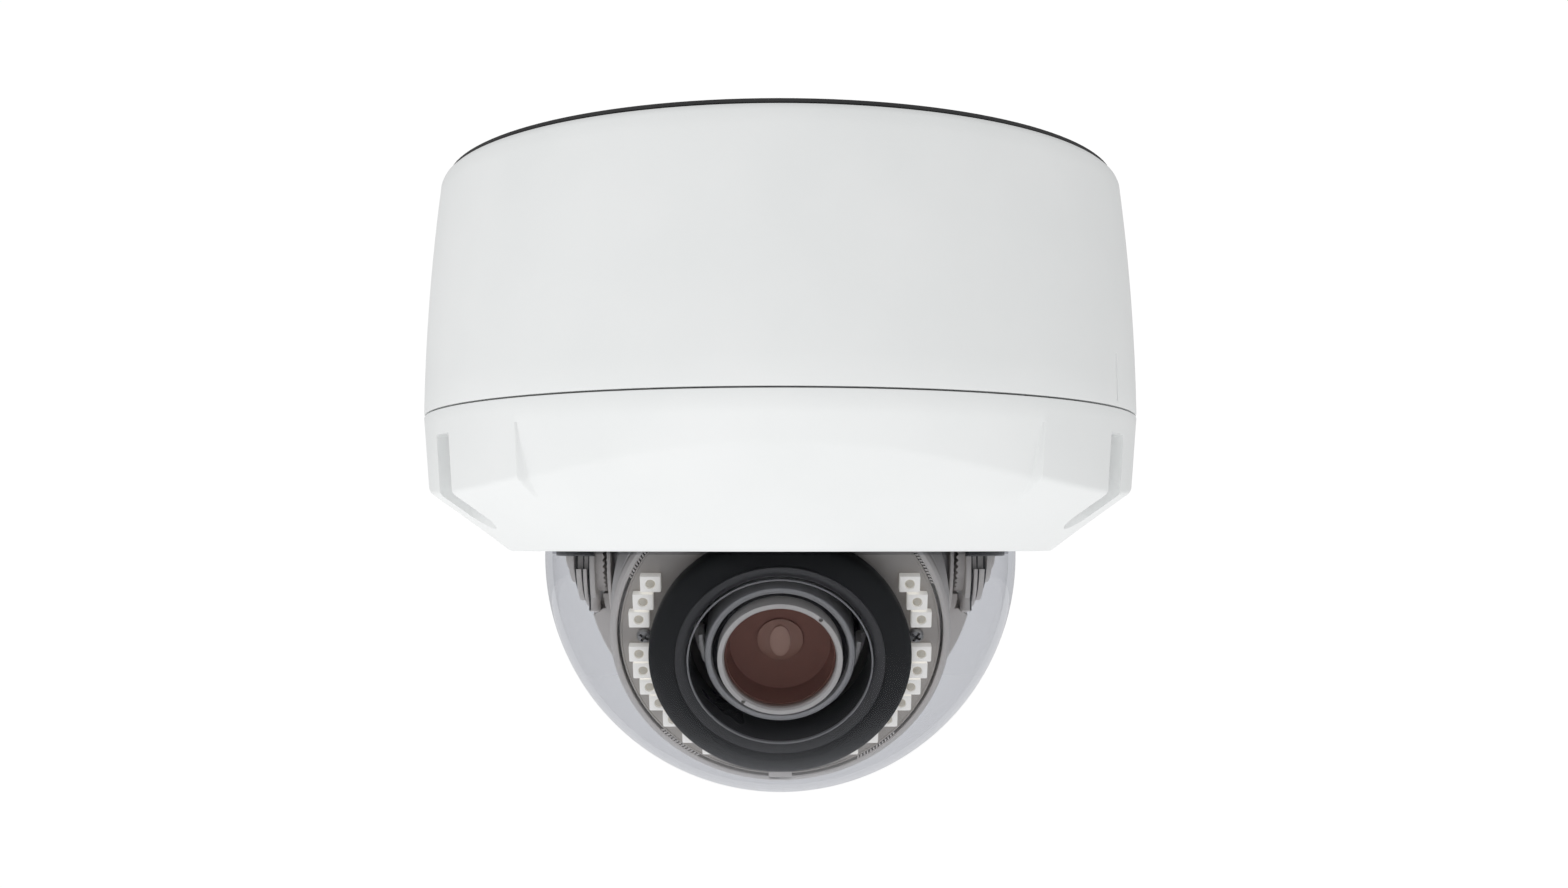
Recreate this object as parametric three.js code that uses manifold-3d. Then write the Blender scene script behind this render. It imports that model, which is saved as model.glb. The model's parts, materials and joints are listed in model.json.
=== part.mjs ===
// Surface-mounted dome camera: a drum with a ruled cover ring, a clear dome and a three-axis
// camera module on a gimbal inside it. Millimetres, +Z up, the ceiling face at z = 0, the lens
// facing -Y. Angles round the camera run from the front (-Y) towards +X.
import * as THREE from 'three';
import { mergeVertices } from 'three/addons/utils/BufferGeometryUtils.js';
import Module from 'manifold-3d';

const wasm = await Module();
wasm.setup();

// ---------------------------------------------------------------- driving dimensions
const BODY_RADIUS = 75;          // drum and cover at the parting line
const SEAM_Z = -50;              // parting line between drum and cover
const RIM_Z = -77.4;             // bottom edge of the cover
const RIM_RADIUS = 57.2;         // where the cover's cone meets its bottom edge
const DOME_Z = -78;              // height of the dome's centre and of the tilt axis
const DOME_RADIUS = 50;
const DOME_WALL = 1.5;
const SWING_RADIUS = 47.9;       // everything that swings stays inside this sphere
const TILT_REST = 25;            // lens axis below the horizontal at rest, degrees
const AXIS_DROP = 3.8;           // lens axis below the tilt axis
const GAP = 0.3;                 // clearance between neighbouring pieces

const THIRD = 120;               // three-fold layout, degrees
const LUG_ANGLES = [60, 180, 300];
const POST_ANGLES = [0, 120, 240];
const LUG_RADIUS = 67.5;         // cover screws
const POST_RADIUS = 58;          // chassis posts
const BOARD_POST_RADIUS = 46;

const PLATE = 4.5;               // ceiling plate of the drum
const CHASSIS_Z = -29.3;         // top of the chassis plate
const BOARD_Z = -14;             // top of the main board
const CABLE_Y = 40;              // centre of the cable hole
const CONDUIT_Z = -22;           // height of the side conduit entry
const CREASE_MEAN = -12.75;      // crease of the cover below the parting line
const CREASE_SWING = 3.75;
const RECESS_HALF = 38.5;        // half width of each recessed panel, degrees
const RECESS_FADE = 0.8;
const SLOT_WIDTH = 7.5;
const SLOT_CEILING = -55;

const YOKE_IN = 38.0;            // yoke arm from here to YOKE_OUT along X
const YOKE_OUT = 44.2;
const RATCHET_RADIUS = 13;
const RATCHET_NOTCHES = 12;
const LED_RADIUS = 27.9;
const LED_ANGLES = [-26.2, -17.6, -9.5, 6.1, 13.9, 21.9, 30.2, 39.6, 50.6, 60.5];  // below each side's middle
const BOARD_SCREW = [26.7, 0.5];  // out and up from the lens axis
const SHROUD_DROP = 0.5;         // the shroud sits this far below the lens axis

// ---------------------------------------------------------------- materials
function paint(color, roughness, metalness = 0) {
  return new THREE.MeshStandardMaterial({ color, roughness, metalness });
}
const WHITE_PAINT = paint(0xe9eae9, 0.5);
const STEEL = paint(0xc0c2c4, 0.35, 1);
const DARK_STEEL = paint(0x5a5a5c, 0.4, 1);
const ZINC_PLATE = paint(0xb0b4b8, 0.4, 0.9);
const RUBBER = paint(0x1b1c1e, 0.85);
const BLACK_PLASTIC = paint(0x2a2b2d, 0.6);
const TAUPE_PLASTIC = paint(0x7f7b77, 0.5);
const SILVER_PAINT = paint(0xa3a1a0, 0.4, 0.3);
const BOARD_GREEN = paint(0x1f4a34, 0.5);
const BOARD_TAUPE = paint(0x5d5953, 0.55);
const ANODISED_GREY = paint(0x6d6d6e, 0.4, 0.6);
const LENS_BLACK = paint(0x17181a, 0.45);
const COATED_GLASS = paint(0x4e322e, 0.1);
const CLEAR = new THREE.MeshStandardMaterial({
  color: 0xd5d7e2, roughness: 0.05, transparent: true, opacity: 0.3,
});

// ---------------------------------------------------------------- solids
const rad = THREE.MathUtils.degToRad;

function round(angle, radius) {
  return [radius * Math.sin(rad(angle)), -radius * Math.cos(rad(angle))];
}

// A closed geometry with only its positions, every face pointing outwards.
function closed(geometry) {
  const bare = geometry.index ? geometry.clone() : mergeVertices(geometry.clone());
  bare.deleteAttribute('normal');
  bare.deleteAttribute('uv');
  const merged = mergeVertices(bare, 1e-4);
  const p = merged.attributes.position;
  const kept = [];
  let volume = 0;
  const [a, b, c] = [new THREE.Vector3(), new THREE.Vector3(), new THREE.Vector3()];
  for (let i = 0; i < merged.index.count; i += 3) {
    const t = [0, 1, 2].map((k) => merged.index.getX(i + k));
    if (t[0] === t[1] || t[1] === t[2] || t[2] === t[0]) continue;
    kept.push(...t);
    a.fromBufferAttribute(p, t[0]);
    b.fromBufferAttribute(p, t[1]);
    c.fromBufferAttribute(p, t[2]);
    volume += a.dot(b.cross(c));
  }
  if (volume < 0) kept.reverse();
  merged.setIndex(kept);
  return merged;
}

function toManifold(geometry) {
  const g = closed(geometry);
  return new wasm.Manifold(new wasm.Mesh({
    numProp: 3,
    vertProperties: new Float32Array(g.attributes.position.array),
    triVerts: new Uint32Array(g.index.array),
  }));
}

function toGeometry(solid) {
  const mesh = solid.getMesh();
  const geometry = new THREE.BufferGeometry();
  geometry.setAttribute('position', new THREE.BufferAttribute(mesh.vertProperties, 3));
  geometry.setIndex(new THREE.BufferAttribute(mesh.triVerts, 1));
  return geometry;
}

function cut(base, ...tools) {
  return toGeometry(tools.reduce((s, t) => s.subtract(toManifold(t)), toManifold(base)));
}

function join(base, ...more) {
  return toGeometry(more.reduce((s, m) => s.add(toManifold(m)), toManifold(base)));
}

function common(base, other) {
  return toGeometry(toManifold(base).intersect(toManifold(other)));
}

// A profile of [radius, height] points turned about Z. It closes on itself or on the axis.
function turned(profile, segments = 36) {
  const points = profile.map(([r, z]) => new THREE.Vector2(r, z));
  const onAxis = points[0].x === 0 && points[points.length - 1].x === 0;
  if (!onAxis) points.push(points[0].clone());
  return closed(new THREE.LatheGeometry(points, segments).rotateX(Math.PI / 2));
}

function ring(inner, outer, low, high, segments = 36) {
  return turned([[inner, low], [outer, low], [outer, high], [inner, high]], segments);
}

function rod(radius, low, high, x = 0, y = 0, sides = 12) {
  const shape = new THREE.CylinderGeometry(radius, radius, high - low, sides);
  return shape.rotateX(Math.PI / 2).translate(x, y, (low + high) / 2);
}

function crossRod(radius, left, right, y, z, sides = 24) {
  const shape = new THREE.CylinderGeometry(radius, radius, right - left, sides);
  return shape.rotateZ(Math.PI / 2).translate((left + right) / 2, y, z);
}

function block(x0, x1, y0, y1, z0, z1) {
  const shape = new THREE.BoxGeometry(x1 - x0, y1 - y0, z1 - z0);
  return shape.translate((x0 + x1) / 2, (y0 + y1) / 2, (z0 + z1) / 2);
}

function ball(radius, x, y, z) {
  return new THREE.SphereGeometry(radius, 32, 16).translate(x, y, z);
}

// A pan-head screw along Z: the head sits below `seat` when down is true, above it otherwise.
function screw(headRadius, headHeight, shankRadius, length, seat, down = true) {
  const way = down ? -1 : 1;
  const tip = seat - way * length;
  const face = seat + way * headHeight;
  const edge = seat + way * headHeight * 0.65;
  return turned([[0, tip], [shankRadius, tip], [shankRadius, seat], [headRadius, seat],
    [headRadius, edge], [headRadius * 0.75, face], [0, face]], 10);
}

function addPart(group, name, geometry, material) {
  const mesh = new THREE.Mesh(closed(geometry), material);
  mesh.name = name;
  group.add(mesh);
  return mesh;
}

// ---------------------------------------------------------------- drum
function backBox() {
  const shell = turned([[0, 0], [66, 0], [66, -1], [71.6, -1], [72.2, -2.2], [73.3, -13.3],
    [74, -23.8], [74.6, -34.2], [74.9, -44.5], [BODY_RADIUS, SEAM_Z + GAP / 2],
    [71, SEAM_Z + GAP / 2], [70, -PLATE], [0, -PLATE]]);
  const posts = [];
  const holes = [];
  for (const angle of LUG_ANGLES) {
    const [x, y] = round(angle, LUG_RADIUS);
    posts.push(rod(4.6, SEAM_Z + GAP / 2, -PLATE + 0.5, x, y));
    holes.push(rod(2.1, SEAM_Z - 1, -32, x, y, 12));
  }
  for (const angle of POST_ANGLES) {
    const [x, y] = round(angle, POST_RADIUS);
    posts.push(rod(3.5, CHASSIS_Z + GAP, -PLATE + 0.5, x, y, 12));
    holes.push(rod(1.5, CHASSIS_Z - 1, -18, x, y, 12));
    const [mx, my] = round(angle + THIRD / 4, POST_RADIUS);
    holes.push(rod(2.6, -PLATE - 1, 1, mx, my, 12));
  }
  holes.push(rod(9, -PLATE - 1, 1, 0, CABLE_Y, 24), rod(11.5, -1.6, 1, 0, CABLE_Y, 24));
  holes.push(rod(9.8, 60, 80, 0, 0, 24).rotateX(-Math.PI / 2).translate(0, 0, CONDUIT_Z));
  holes.push(rod(12.6, 73, 80, 0, 0, 24).rotateX(-Math.PI / 2).translate(0, 0, CONDUIT_Z));
  return cut(join(shell, ...posts), ...holes);
}

function cableGrommet() {
  return turned([[3.5, -0.3], [11.1, -0.3], [11.1, -1.3], [8.7, -1.3], [8.7, -4.8], [11.1, -4.8],
    [11.1, -6.8], [5, -12], [3.5, -12]], 18).translate(0, CABLE_Y, 0);
}

function conduitPlug() {
  const plug = turned([[0, 66], [9.4, 66], [9.4, 73.3], [12.2, 73.3], [12.2, 74.2],
    [11.6, 74.8], [0, 74.8]], 24);
  const driverSlot = block(-6, 6, -0.8, 0.8, 73.8, 76);
  return cut(plug, driverSlot).rotateX(-Math.PI / 2).translate(0, 0, CONDUIT_Z);
}

function addDrum(group) {
  addPart(group, 'back_box', backBox(), WHITE_PAINT);
  addPart(group, 'mounting_gasket', ring(66.3, 70.9, -0.7, 0), RUBBER);
  addPart(group, 'cable_grommet', cableGrommet(), RUBBER);
  addPart(group, 'conduit_plug', conduitPlug(), WHITE_PAINT);
  const seal = [0, 90, 180, 270].map((a) => [72.2 + 0.9 * Math.cos(rad(a)),
    SEAM_Z - 1.1 + 0.9 * Math.sin(rad(a))]);
  addPart(group, 'cover_seal', turned(seal), RUBBER);
}

// ---------------------------------------------------------------- chassis and electronics
function chassisPlate() {
  const low = CHASSIS_Z - 1.5;
  const holes = [rod(8, low - 1, CHASSIS_Z + 1, 0, 0, 24)];
  for (const angle of POST_ANGLES) {
    holes.push(rod(1.7, low - 1, CHASSIS_Z + 1, ...round(angle, POST_RADIUS), 12));
  }
  holes.push(rod(10, low - 1, CHASSIS_Z + 1, 0, CABLE_Y, 16));
  return cut(ring(0, 62, low, CHASSIS_Z, 36), ...holes);
}

function mainBoard() {
  const holes = [rod(14, BOARD_Z - 3, BOARD_Z + 1, 0, CABLE_Y, 24)];
  for (const angle of POST_ANGLES) {
    holes.push(rod(1.6, BOARD_Z - 3, BOARD_Z + 1, ...round(angle, BOARD_POST_RADIUS), 12));
  }
  holes.push(block(-20, 20, CABLE_Y, 60, BOARD_Z - 3, BOARD_Z + 1));
  return cut(ring(0, 54, BOARD_Z - 1.6, BOARD_Z, 36), ...holes);
}

function heatsink() {
  const [x, y, low] = [0, -20, BOARD_Z + GAP];
  const fins = [];
  for (let i = -2; i <= 2; i += 1) {
    fins.push(block(x + i * 5 - 1, x + i * 5 + 1, y - 12, y + 12, low + 1, low + 6));
  }
  return join(block(x - 12, x + 12, y - 12, y + 12, low, low + 1.8), ...fins);
}

function networkJack() {
  const body = block(-38, -22, -12, 9, BOARD_Z - 14.4, BOARD_Z - 1.9);
  return cut(body, block(-36, -24, -14, 2, BOARD_Z - 12.6, BOARD_Z - 4));
}

function powerTerminal() {
  const body = block(24, 38, -9, 6, BOARD_Z - 11.9, BOARD_Z - 1.9);
  const wireHoles = [28, 34].map((x) => block(x - 1.8, x + 1.8, -11, -2, BOARD_Z - 9, BOARD_Z - 5));
  return cut(body, ...wireHoles);
}

function addElectronics(group) {
  addPart(group, 'chassis_plate', chassisPlate(), ZINC_PLATE);
  addPart(group, 'main_board', mainBoard(), BOARD_GREEN);
  POST_ANGLES.forEach((angle, i) => {
    const plateScrew = screw(2.8, 1.9, 1.1, 9, CHASSIS_Z - 1.5 - GAP);
    plateScrew.translate(...round(angle, POST_RADIUS), 0);
    addPart(group, `chassis_screw_${i + 1}`, plateScrew, STEEL);
    const top = BOARD_Z - 1.6 - GAP;
    const standoff = cut(rod(2.7, CHASSIS_Z + GAP, top, 0, 0, 6), rod(1.5, top - 7, top + 1, 0, 0, 8));
    standoff.translate(...round(angle, BOARD_POST_RADIUS), 0);
    addPart(group, `board_standoff_${i + 1}`, standoff, STEEL);
    const boardScrew = screw(2.6, 1.8, 1.1, 7.5, BOARD_Z + GAP, false);
    boardScrew.translate(...round(angle, BOARD_POST_RADIUS), 0);
    addPart(group, `board_screw_${i + 1}`, boardScrew, STEEL);
  });
  addPart(group, 'processor_heatsink', heatsink(), DARK_STEEL);
  addPart(group, 'network_jack', networkJack(), STEEL);
  addPart(group, 'power_terminal', powerTerminal(), BLACK_PLASTIC);
  addPart(group, 'supply_capacitor', rod(5, BOARD_Z - 13.5, BOARD_Z - 1.9, 18, 26), BLACK_PLASTIC);
}

// ---------------------------------------------------------------- cover
function creaseHeight(angle) {
  return SEAM_Z + CREASE_MEAN + CREASE_SWING * Math.cos(rad(3 * angle));
}

// One column of the cover's outside, from the parting line down, as [radius, z] pairs.
function coverColumn(angle, recessed) {
  const crease = creaseHeight(angle);
  const wall = 73.7;
  const step = SEAM_Z - 3.5;
  const fade = -68.2;
  const slope = (wall - RIM_RADIUS) / (crease - RIM_Z);
  const stepRadius = BODY_RADIUS + (wall - BODY_RADIUS) * (step - SEAM_Z) / (crease - SEAM_Z);
  return [[BODY_RADIUS, SEAM_Z - GAP / 2], [stepRadius, step], [recessed ? 71.9 : wall, crease],
    [RIM_RADIUS + (fade - RIM_Z) * slope, fade], [RIM_RADIUS, RIM_Z]];
}

// The cover's outside as a closed block: columns of points joined round, with a flat top and base.
function coverOutside() {
  const columns = [];
  for (let panel = 0; panel < 360; panel += THIRD) {
    const edge = RECESS_HALF + RECESS_FADE;
    for (let a = -35; a <= 35; a += 5) columns.push([panel + a, true]);
    columns.push([panel + RECESS_HALF, true], [panel + edge, false]);
    for (let a = 45; a <= 75; a += 5) columns.push([panel + a, false]);
    columns.push([panel + THIRD - edge, false], [panel + THIRD - RECESS_HALF, true]);
  }
  const rows = 5;
  const positions = [];
  for (const [angle, recessed] of columns) {
    for (const [r, z] of coverColumn(angle, recessed)) positions.push(...round(angle, r), z);
  }
  positions.push(0, 0, SEAM_Z - GAP / 2, 0, 0, RIM_Z);
  const top = columns.length * rows;
  const index = [];
  columns.forEach((_, i) => {
    const a = i * rows;
    const b = ((i + 1) % columns.length) * rows;
    for (let k = 0; k < rows - 1; k += 1) {
      index.push(a + k, a + k + 1, b + k + 1, a + k, b + k + 1, b + k);
    }
    index.push(top, a, b, top + 1, b + rows - 1, a + rows - 1);
  });
  const geometry = new THREE.BufferGeometry();
  geometry.setAttribute('position', new THREE.BufferAttribute(new Float32Array(positions), 3));
  geometry.setIndex(index);
  return geometry;
}

function cover() {
  const inside = turned([[0, -40], [69.5, -40], [69.5, -55], [60, -66], [59.3, -69.6],
    [56, -69.6], [56, -75], [50.4, -75], [50.4, -90], [0, -90]]);
  let shell = cut(coverOutside(), inside, ring(71.1, 73.3, SEAM_Z - 2.1, SEAM_Z + 1));
  for (const angle of LUG_ANGLES) {
    const [x, y] = round(angle, LUG_RADIUS);
    const column = common(coverOutside(), rod(6.2, -85, SEAM_Z + 2, x, y, 12));
    shell = join(shell, cut(column, ring(71.1, 73.3, SEAM_Z - 2.1, SEAM_Z + 1)));
  }
  const tools = [];
  for (const angle of LUG_ANGLES) {
    const [x, y] = round(angle, LUG_RADIUS);
    tools.push(rod(SLOT_WIDTH / 2, -90, SLOT_CEILING, x, y, 16), rod(2.3, -60, -40, x, y, 10));
    const channel = block(-SLOT_WIDTH / 2, SLOT_WIDTH / 2, -90, -LUG_RADIUS, -90, SLOT_CEILING);
    tools.push(channel.rotateZ(rad(angle)));
    const [ex, ey] = round(angle, 59.4);
    tools.push(rod(3.2, -69.6, -40, ex, ey), rod(1.15, -75, -60, ex, ey, 10));
  }
  return cut(shell, ...tools);
}

function coverScrew(angle) {
  const [x, y] = round(angle, LUG_RADIUS);
  const body = screw(3.3, 3.2, 1.8, 20, SLOT_CEILING - GAP);
  const socket = rod(1.5, SLOT_CEILING - 5, SLOT_CEILING - 2.2, 0, 0, 6);
  const pin = rod(0.45, SLOT_CEILING - 3.2, SLOT_CEILING - 2, 0, 0, 8);
  return join(cut(body, socket), pin).translate(x, y, 0);
}

function arc(radius, centreZ, from, to, steps) {
  const points = [];
  for (let i = 0; i <= steps; i += 1) {
    const a = rad(from + (to - from) * i / steps);
    points.push([radius * Math.cos(a), centreZ + radius * Math.sin(a)]);
  }
  return points;
}

function domeBubble() {
  const inner = DOME_RADIUS - DOME_WALL;
  const outside = arc(DOME_RADIUS, DOME_Z, 0, -90, 9);
  outside[9] = [0, DOME_Z - DOME_RADIUS];
  const inside = arc(inner, DOME_Z, -90, 0, 9);
  inside[0] = [0, DOME_Z - inner];
  return turned([...inside, [inner, -72.7], [55.6, -72.7], [55.6, -74.7], [DOME_RADIUS, -74.7],
    ...outside]);
}

function clampRing() {
  const ears = [];
  const holes = [];
  for (const angle of LUG_ANGLES) {
    const [x, y] = round(angle, 59.4);
    ears.push(rod(2.8, -69.3, -67.1, x, y));
    holes.push(rod(1.25, -72, -60, x, y, 10));
  }
  return cut(join(ring(50.9, 58.6, -69.3, -67.1), ...ears), ...holes);
}

function addCover(group) {
  addPart(group, 'cover', cover(), WHITE_PAINT);
  addPart(group, 'dome_bubble', domeBubble(), CLEAR);
  addPart(group, 'dome_gasket', ring(50.9, 55.6, -72.4, -69.6), RUBBER);
  addPart(group, 'dome_clamp_ring', clampRing(), ZINC_PLATE);
  LUG_ANGLES.forEach((angle, i) => {
    addPart(group, `cover_screw_${i + 1}`, coverScrew(angle), STEEL);
    const clampScrew = screw(2.1, 1.5, 0.85, 5.4, -67.1 + GAP, false);
    clampScrew.translate(...round(angle, 59.4), 0);
    addPart(group, `clamp_screw_${i + 1}`, clampScrew, STEEL);
  });
}

// ---------------------------------------------------------------- pan stage
const PAN_TOP = -34;

function panBase() {
  const cup = turned([[4, -26], [7.6, -26], [7.6, PAN_TOP], [47.7, PAN_TOP], [47.7, -78.4],
    [46.2, -78.4], [46.2, PAN_TOP - 3], [4, PAN_TOP - 3]]);
  const window = block(-36.5, 36.5, -60, 0, -80, -62);
  const lockHole = rod(1.7, PAN_TOP - 5, PAN_TOP + 1, 0, 24, 12);
  return cut(cup, window, lockHole);
}

function yoke(side) {
  const arm = join(block(YOKE_IN, YOKE_OUT, -RATCHET_RADIUS, RATCHET_RADIUS, DOME_Z, -37.3),
    crossRod(RATCHET_RADIUS, YOKE_IN, 40.4, 0, DOME_Z, 24), crossRod(11, 40, 42.2, 0, DOME_Z, 24),
    crossRod(6.5, 42, YOKE_OUT, 0, DOME_Z, 24));
  const trimmed = common(common(arm, ball(SWING_RADIUS, 0, 0, DOME_Z)), rod(60, -100, -60));
  const upper = common(arm, rod(45.8, DOME_Z - 5, -37.3, 0, 0, 36));
  const lower = common(trimmed, block(0, 60, -30, 30, -100, -78.7));
  const foot = common(common(arm, rod(45.8, -100, -37.3, 0, 0, 36)), block(0, 60, -30, 30, -79, -77));
  const ratchet = ratchetDisc(36.8, YOKE_IN + 0.2);
  const bores = [crossRod(2.4, 36, 50, 0, DOME_Z, 12), crossRod(3.9, 42.7, 50, 0, DOME_Z, 16)];
  const whole = cut(join(upper, foot, lower, ratchet), ...bores);
  return side > 0 ? whole : whole.rotateZ(Math.PI);
}

// A toothed disc about the tilt axis, its notches cut radially into the rim.
function ratchetDisc(inner, outer) {
  const notches = [];
  for (let i = 0; i < RATCHET_NOTCHES; i += 1) {
    const notch = block(inner - 1, outer + 1, -0.5, 0.5, RATCHET_RADIUS - 1, RATCHET_RADIUS + 2);
    notches.push(notch.rotateX(rad(i * 360 / RATCHET_NOTCHES)).translate(0, 0, DOME_Z));
  }
  return cut(crossRod(RATCHET_RADIUS, inner, outer, 0, DOME_Z, 24), ...notches);
}

function addPanStage(group) {
  addPart(group, 'pan_base', panBase(), BLACK_PLASTIC);
  addPart(group, 'pan_retainer', ring(7.9, 13, CHASSIS_Z + 0.4, CHASSIS_Z + 2.4, 24), ZINC_PLATE);
  addPart(group, 'yoke_right', yoke(1), TAUPE_PLASTIC);
  addPart(group, 'yoke_left', yoke(-1), TAUPE_PLASTIC);
  const lock = screw(2.6, 1.8, 1.3, 4, PAN_TOP - 3 - GAP).translate(0, 24, 0);
  addPart(group, 'pan_lock_screw', lock, STEEL);
}

// ---------------------------------------------------------------- tilt stage
// Inside this group local Z is the lens direction, local X the tilt axis, the origin the centre.
function tiltRing() {
  const hoop = ring(35.3, 43, 3, 7).translate(0, -AXIS_DROP, 0);
  const trimmed = common(hoop, block(-35.8, 35.8, -60, 60, 0, 10));
  const cheeks = [];
  for (const side of [-1, 1]) {
    const [inner, outer] = side > 0 ? [35.1, 35.8] : [-35.8, -35.1];
    cheeks.push(crossRod(RATCHET_RADIUS, inner, outer, 0, 0, 24));
  }
  const bore = crossRod(2.4, -50, 50, 0, 0, 12);
  return cut(join(trimmed, ...cheeks), bore);
}

function tiltRatchet(side) {
  const disc = ratchetDisc(36, 36.6).translate(0, 0, -DOME_Z);
  const bored = cut(disc, crossRod(2.4, 30, 50, 0, 0, 12));
  return side > 0 ? bored : bored.rotateZ(Math.PI);
}

function tiltPivot(side) {
  const pin = turned([[0, 35.3], [2, 35.3], [2, 43], [3.5, 43], [3.5, 44], [2.9, 44.4], [0, 44.4]], 12);
  return pin.rotateY(side * Math.PI / 2);
}

function addTiltStage(group) {
  addPart(group, 'tilt_ring', tiltRing(), TAUPE_PLASTIC);
  for (const [side, word] of [[1, 'right'], [-1, 'left']]) {
    addPart(group, `tilt_ratchet_${word}`, tiltRatchet(side), TAUPE_PLASTIC);
    addPart(group, `tilt_pivot_${word}`, tiltPivot(side), STEEL);
  }
}

// ---------------------------------------------------------------- camera module
// Local Z is the lens axis and the direction it looks, heights are from the tilt axis.
function moduleHousing() {
  return turned([[4, -16], [16, -16], [27, -12], [33, -2], [34.8, 10], [33.4, 25.7],
    [31, 25.7], [32.8, 10], [31, -1], [25, -10.4], [16, -13.6], [4, -13.6]], 24);
}

function ledAngles() {
  const angles = [];
  for (const angle of LED_ANGLES) {
    angles.push(-angle, 180 + angle);
  }
  return angles;
}

function ledBoard() {
  const leds = ledAngles().map((angle) => {
    const [x, y] = [LED_RADIUS * Math.cos(rad(angle)), LED_RADIUS * Math.sin(rad(angle))];
    return block(x - 2, x + 2, y - 1.7, y + 1.7, 30, 32);
  });
  const holes = [-1, 1].map((s) => rod(1.15, 28, 31, s * BOARD_SCREW[0], BOARD_SCREW[1], 10));
  return cut(join(ring(19.5, 31.5, 28.6, 30.2), ...leds), ...holes);
}

function lensShroud() {
  const outside = turned([[0, 30.6], [24.4, 30.6], [24.4, 32.4], [25.5, 33.4], [25.3, 36.9],
    [23, 39], [19.6, 40.8], [0, 40.8]]).translate(0, -SHROUD_DROP, 0);
  return cut(outside, rod(17.8, 30, 42, 0, 0, 36));
}

function lensBarrel() {
  return turned([[10.9, 6.4], [12, 6.4], [12, 25.6], [14.6, 27.2], [14.6, 37.6], [14.2, 38],
    [12.7, 38], [12.7, 36.2], [10.9, 36.2]], 24);
}

function frontElement() {
  return turned([[0, 33.4], [10.4, 33.4], [10.4, 36.6], [7.4, 37.8], [0, 38.7]], 24);
}

function lockLever(low, high, side) {
  const wall = common(ring(16.1, 17.3, low, high, 36), block(0, 30, -3, 3, 0, 50));
  const foot = common(ring(16.1, 18.4, low, low + 3, 36), block(0, 30, -1.6, 1.6, 0, 50));
  const lever = join(wall, foot);
  return side > 0 ? lever : lever.rotateZ(Math.PI);
}

function addModule(group) {
  addPart(group, 'module_housing', moduleHousing(), SILVER_PAINT);
  addPart(group, 'ir_bezel', turned([[32, 27.4], [33.2, 26.2], [33.7, 27], [33.7, 29.6],
    [33.2, 30.5], [32, 30.5]]), TAUPE_PLASTIC);
  addPart(group, 'led_board', ledBoard(), BOARD_TAUPE);
  for (const [side, word] of [[1, 'right'], [-1, 'left']]) {
    const boardScrew = screw(1.5, 0.9, 0.8, 4, 30.2 + GAP, false);
    boardScrew.translate(side * BOARD_SCREW[0], BOARD_SCREW[1], 0);
    addPart(group, `led_board_screw_${word}`, boardScrew, STEEL);
  }
  addPart(group, 'lens_shroud', lensShroud(), RUBBER);
  addPart(group, 'sensor_board', block(-18, 18, -18, 18, -8, -6.4), BOARD_GREEN);
  addPart(group, 'lens_mount', ring(9, 14, -5.9, 6, 24), LENS_BLACK);
  addPart(group, 'ir_cut_filter', block(-5.5, 5.5, -5.5, 5.5, -3, -2), COATED_GLASS);
  addPart(group, 'lens_barrel', lensBarrel(), ANODISED_GREY);
  addPart(group, 'retaining_ring', ring(10.8, 12.1, 36.6, 39.6, 24), SILVER_PAINT);
  addPart(group, 'front_element', frontElement(), COATED_GLASS);
  addPart(group, 'rear_element', turned([[0, 8], [6, 8.6], [6, 11.4], [0, 12]], 16), COATED_GLASS);
  addPart(group, 'focus_ring', ring(12.3, 15.6, 8, 14, 24), LENS_BLACK);
  addPart(group, 'zoom_ring', ring(12.3, 15.6, 17, 23, 24), LENS_BLACK);
  addPart(group, 'zoom_lever', lockLever(17.4, 34.5, -1), STEEL);
  addPart(group, 'focus_lever', lockLever(8.4, 34.5, 1), STEEL);
}

// ---------------------------------------------------------------- assembly
const camera = new THREE.Group();
addDrum(camera);
addElectronics(camera);
addCover(camera);
addPanStage(camera);

const tiltStage = new THREE.Group();
tiltStage.position.z = DOME_Z;
tiltStage.rotation.x = rad(90 + TILT_REST);
addTiltStage(tiltStage);

const module = new THREE.Group();
module.position.y = -AXIS_DROP;
addModule(module);
tiltStage.add(module);
camera.add(tiltStage);

export default camera;
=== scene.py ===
# %% [markdown]
# # A surface-mounted dome camera
# The camera is a drum that screws to the ceiling, a cover ring with three recessed panels, and a
# clear dome. Inside the dome a gimbal carries a round camera module: a ring of infrared LEDs, a
# soft black shroud, and a varifocal lens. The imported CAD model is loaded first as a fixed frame.
# Every visible piece is then modelled again at the same place, with finer edges and real finishes.

# %% Load the frame
import json
import math

import bpy
from mathutils import Matrix, Vector


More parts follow.
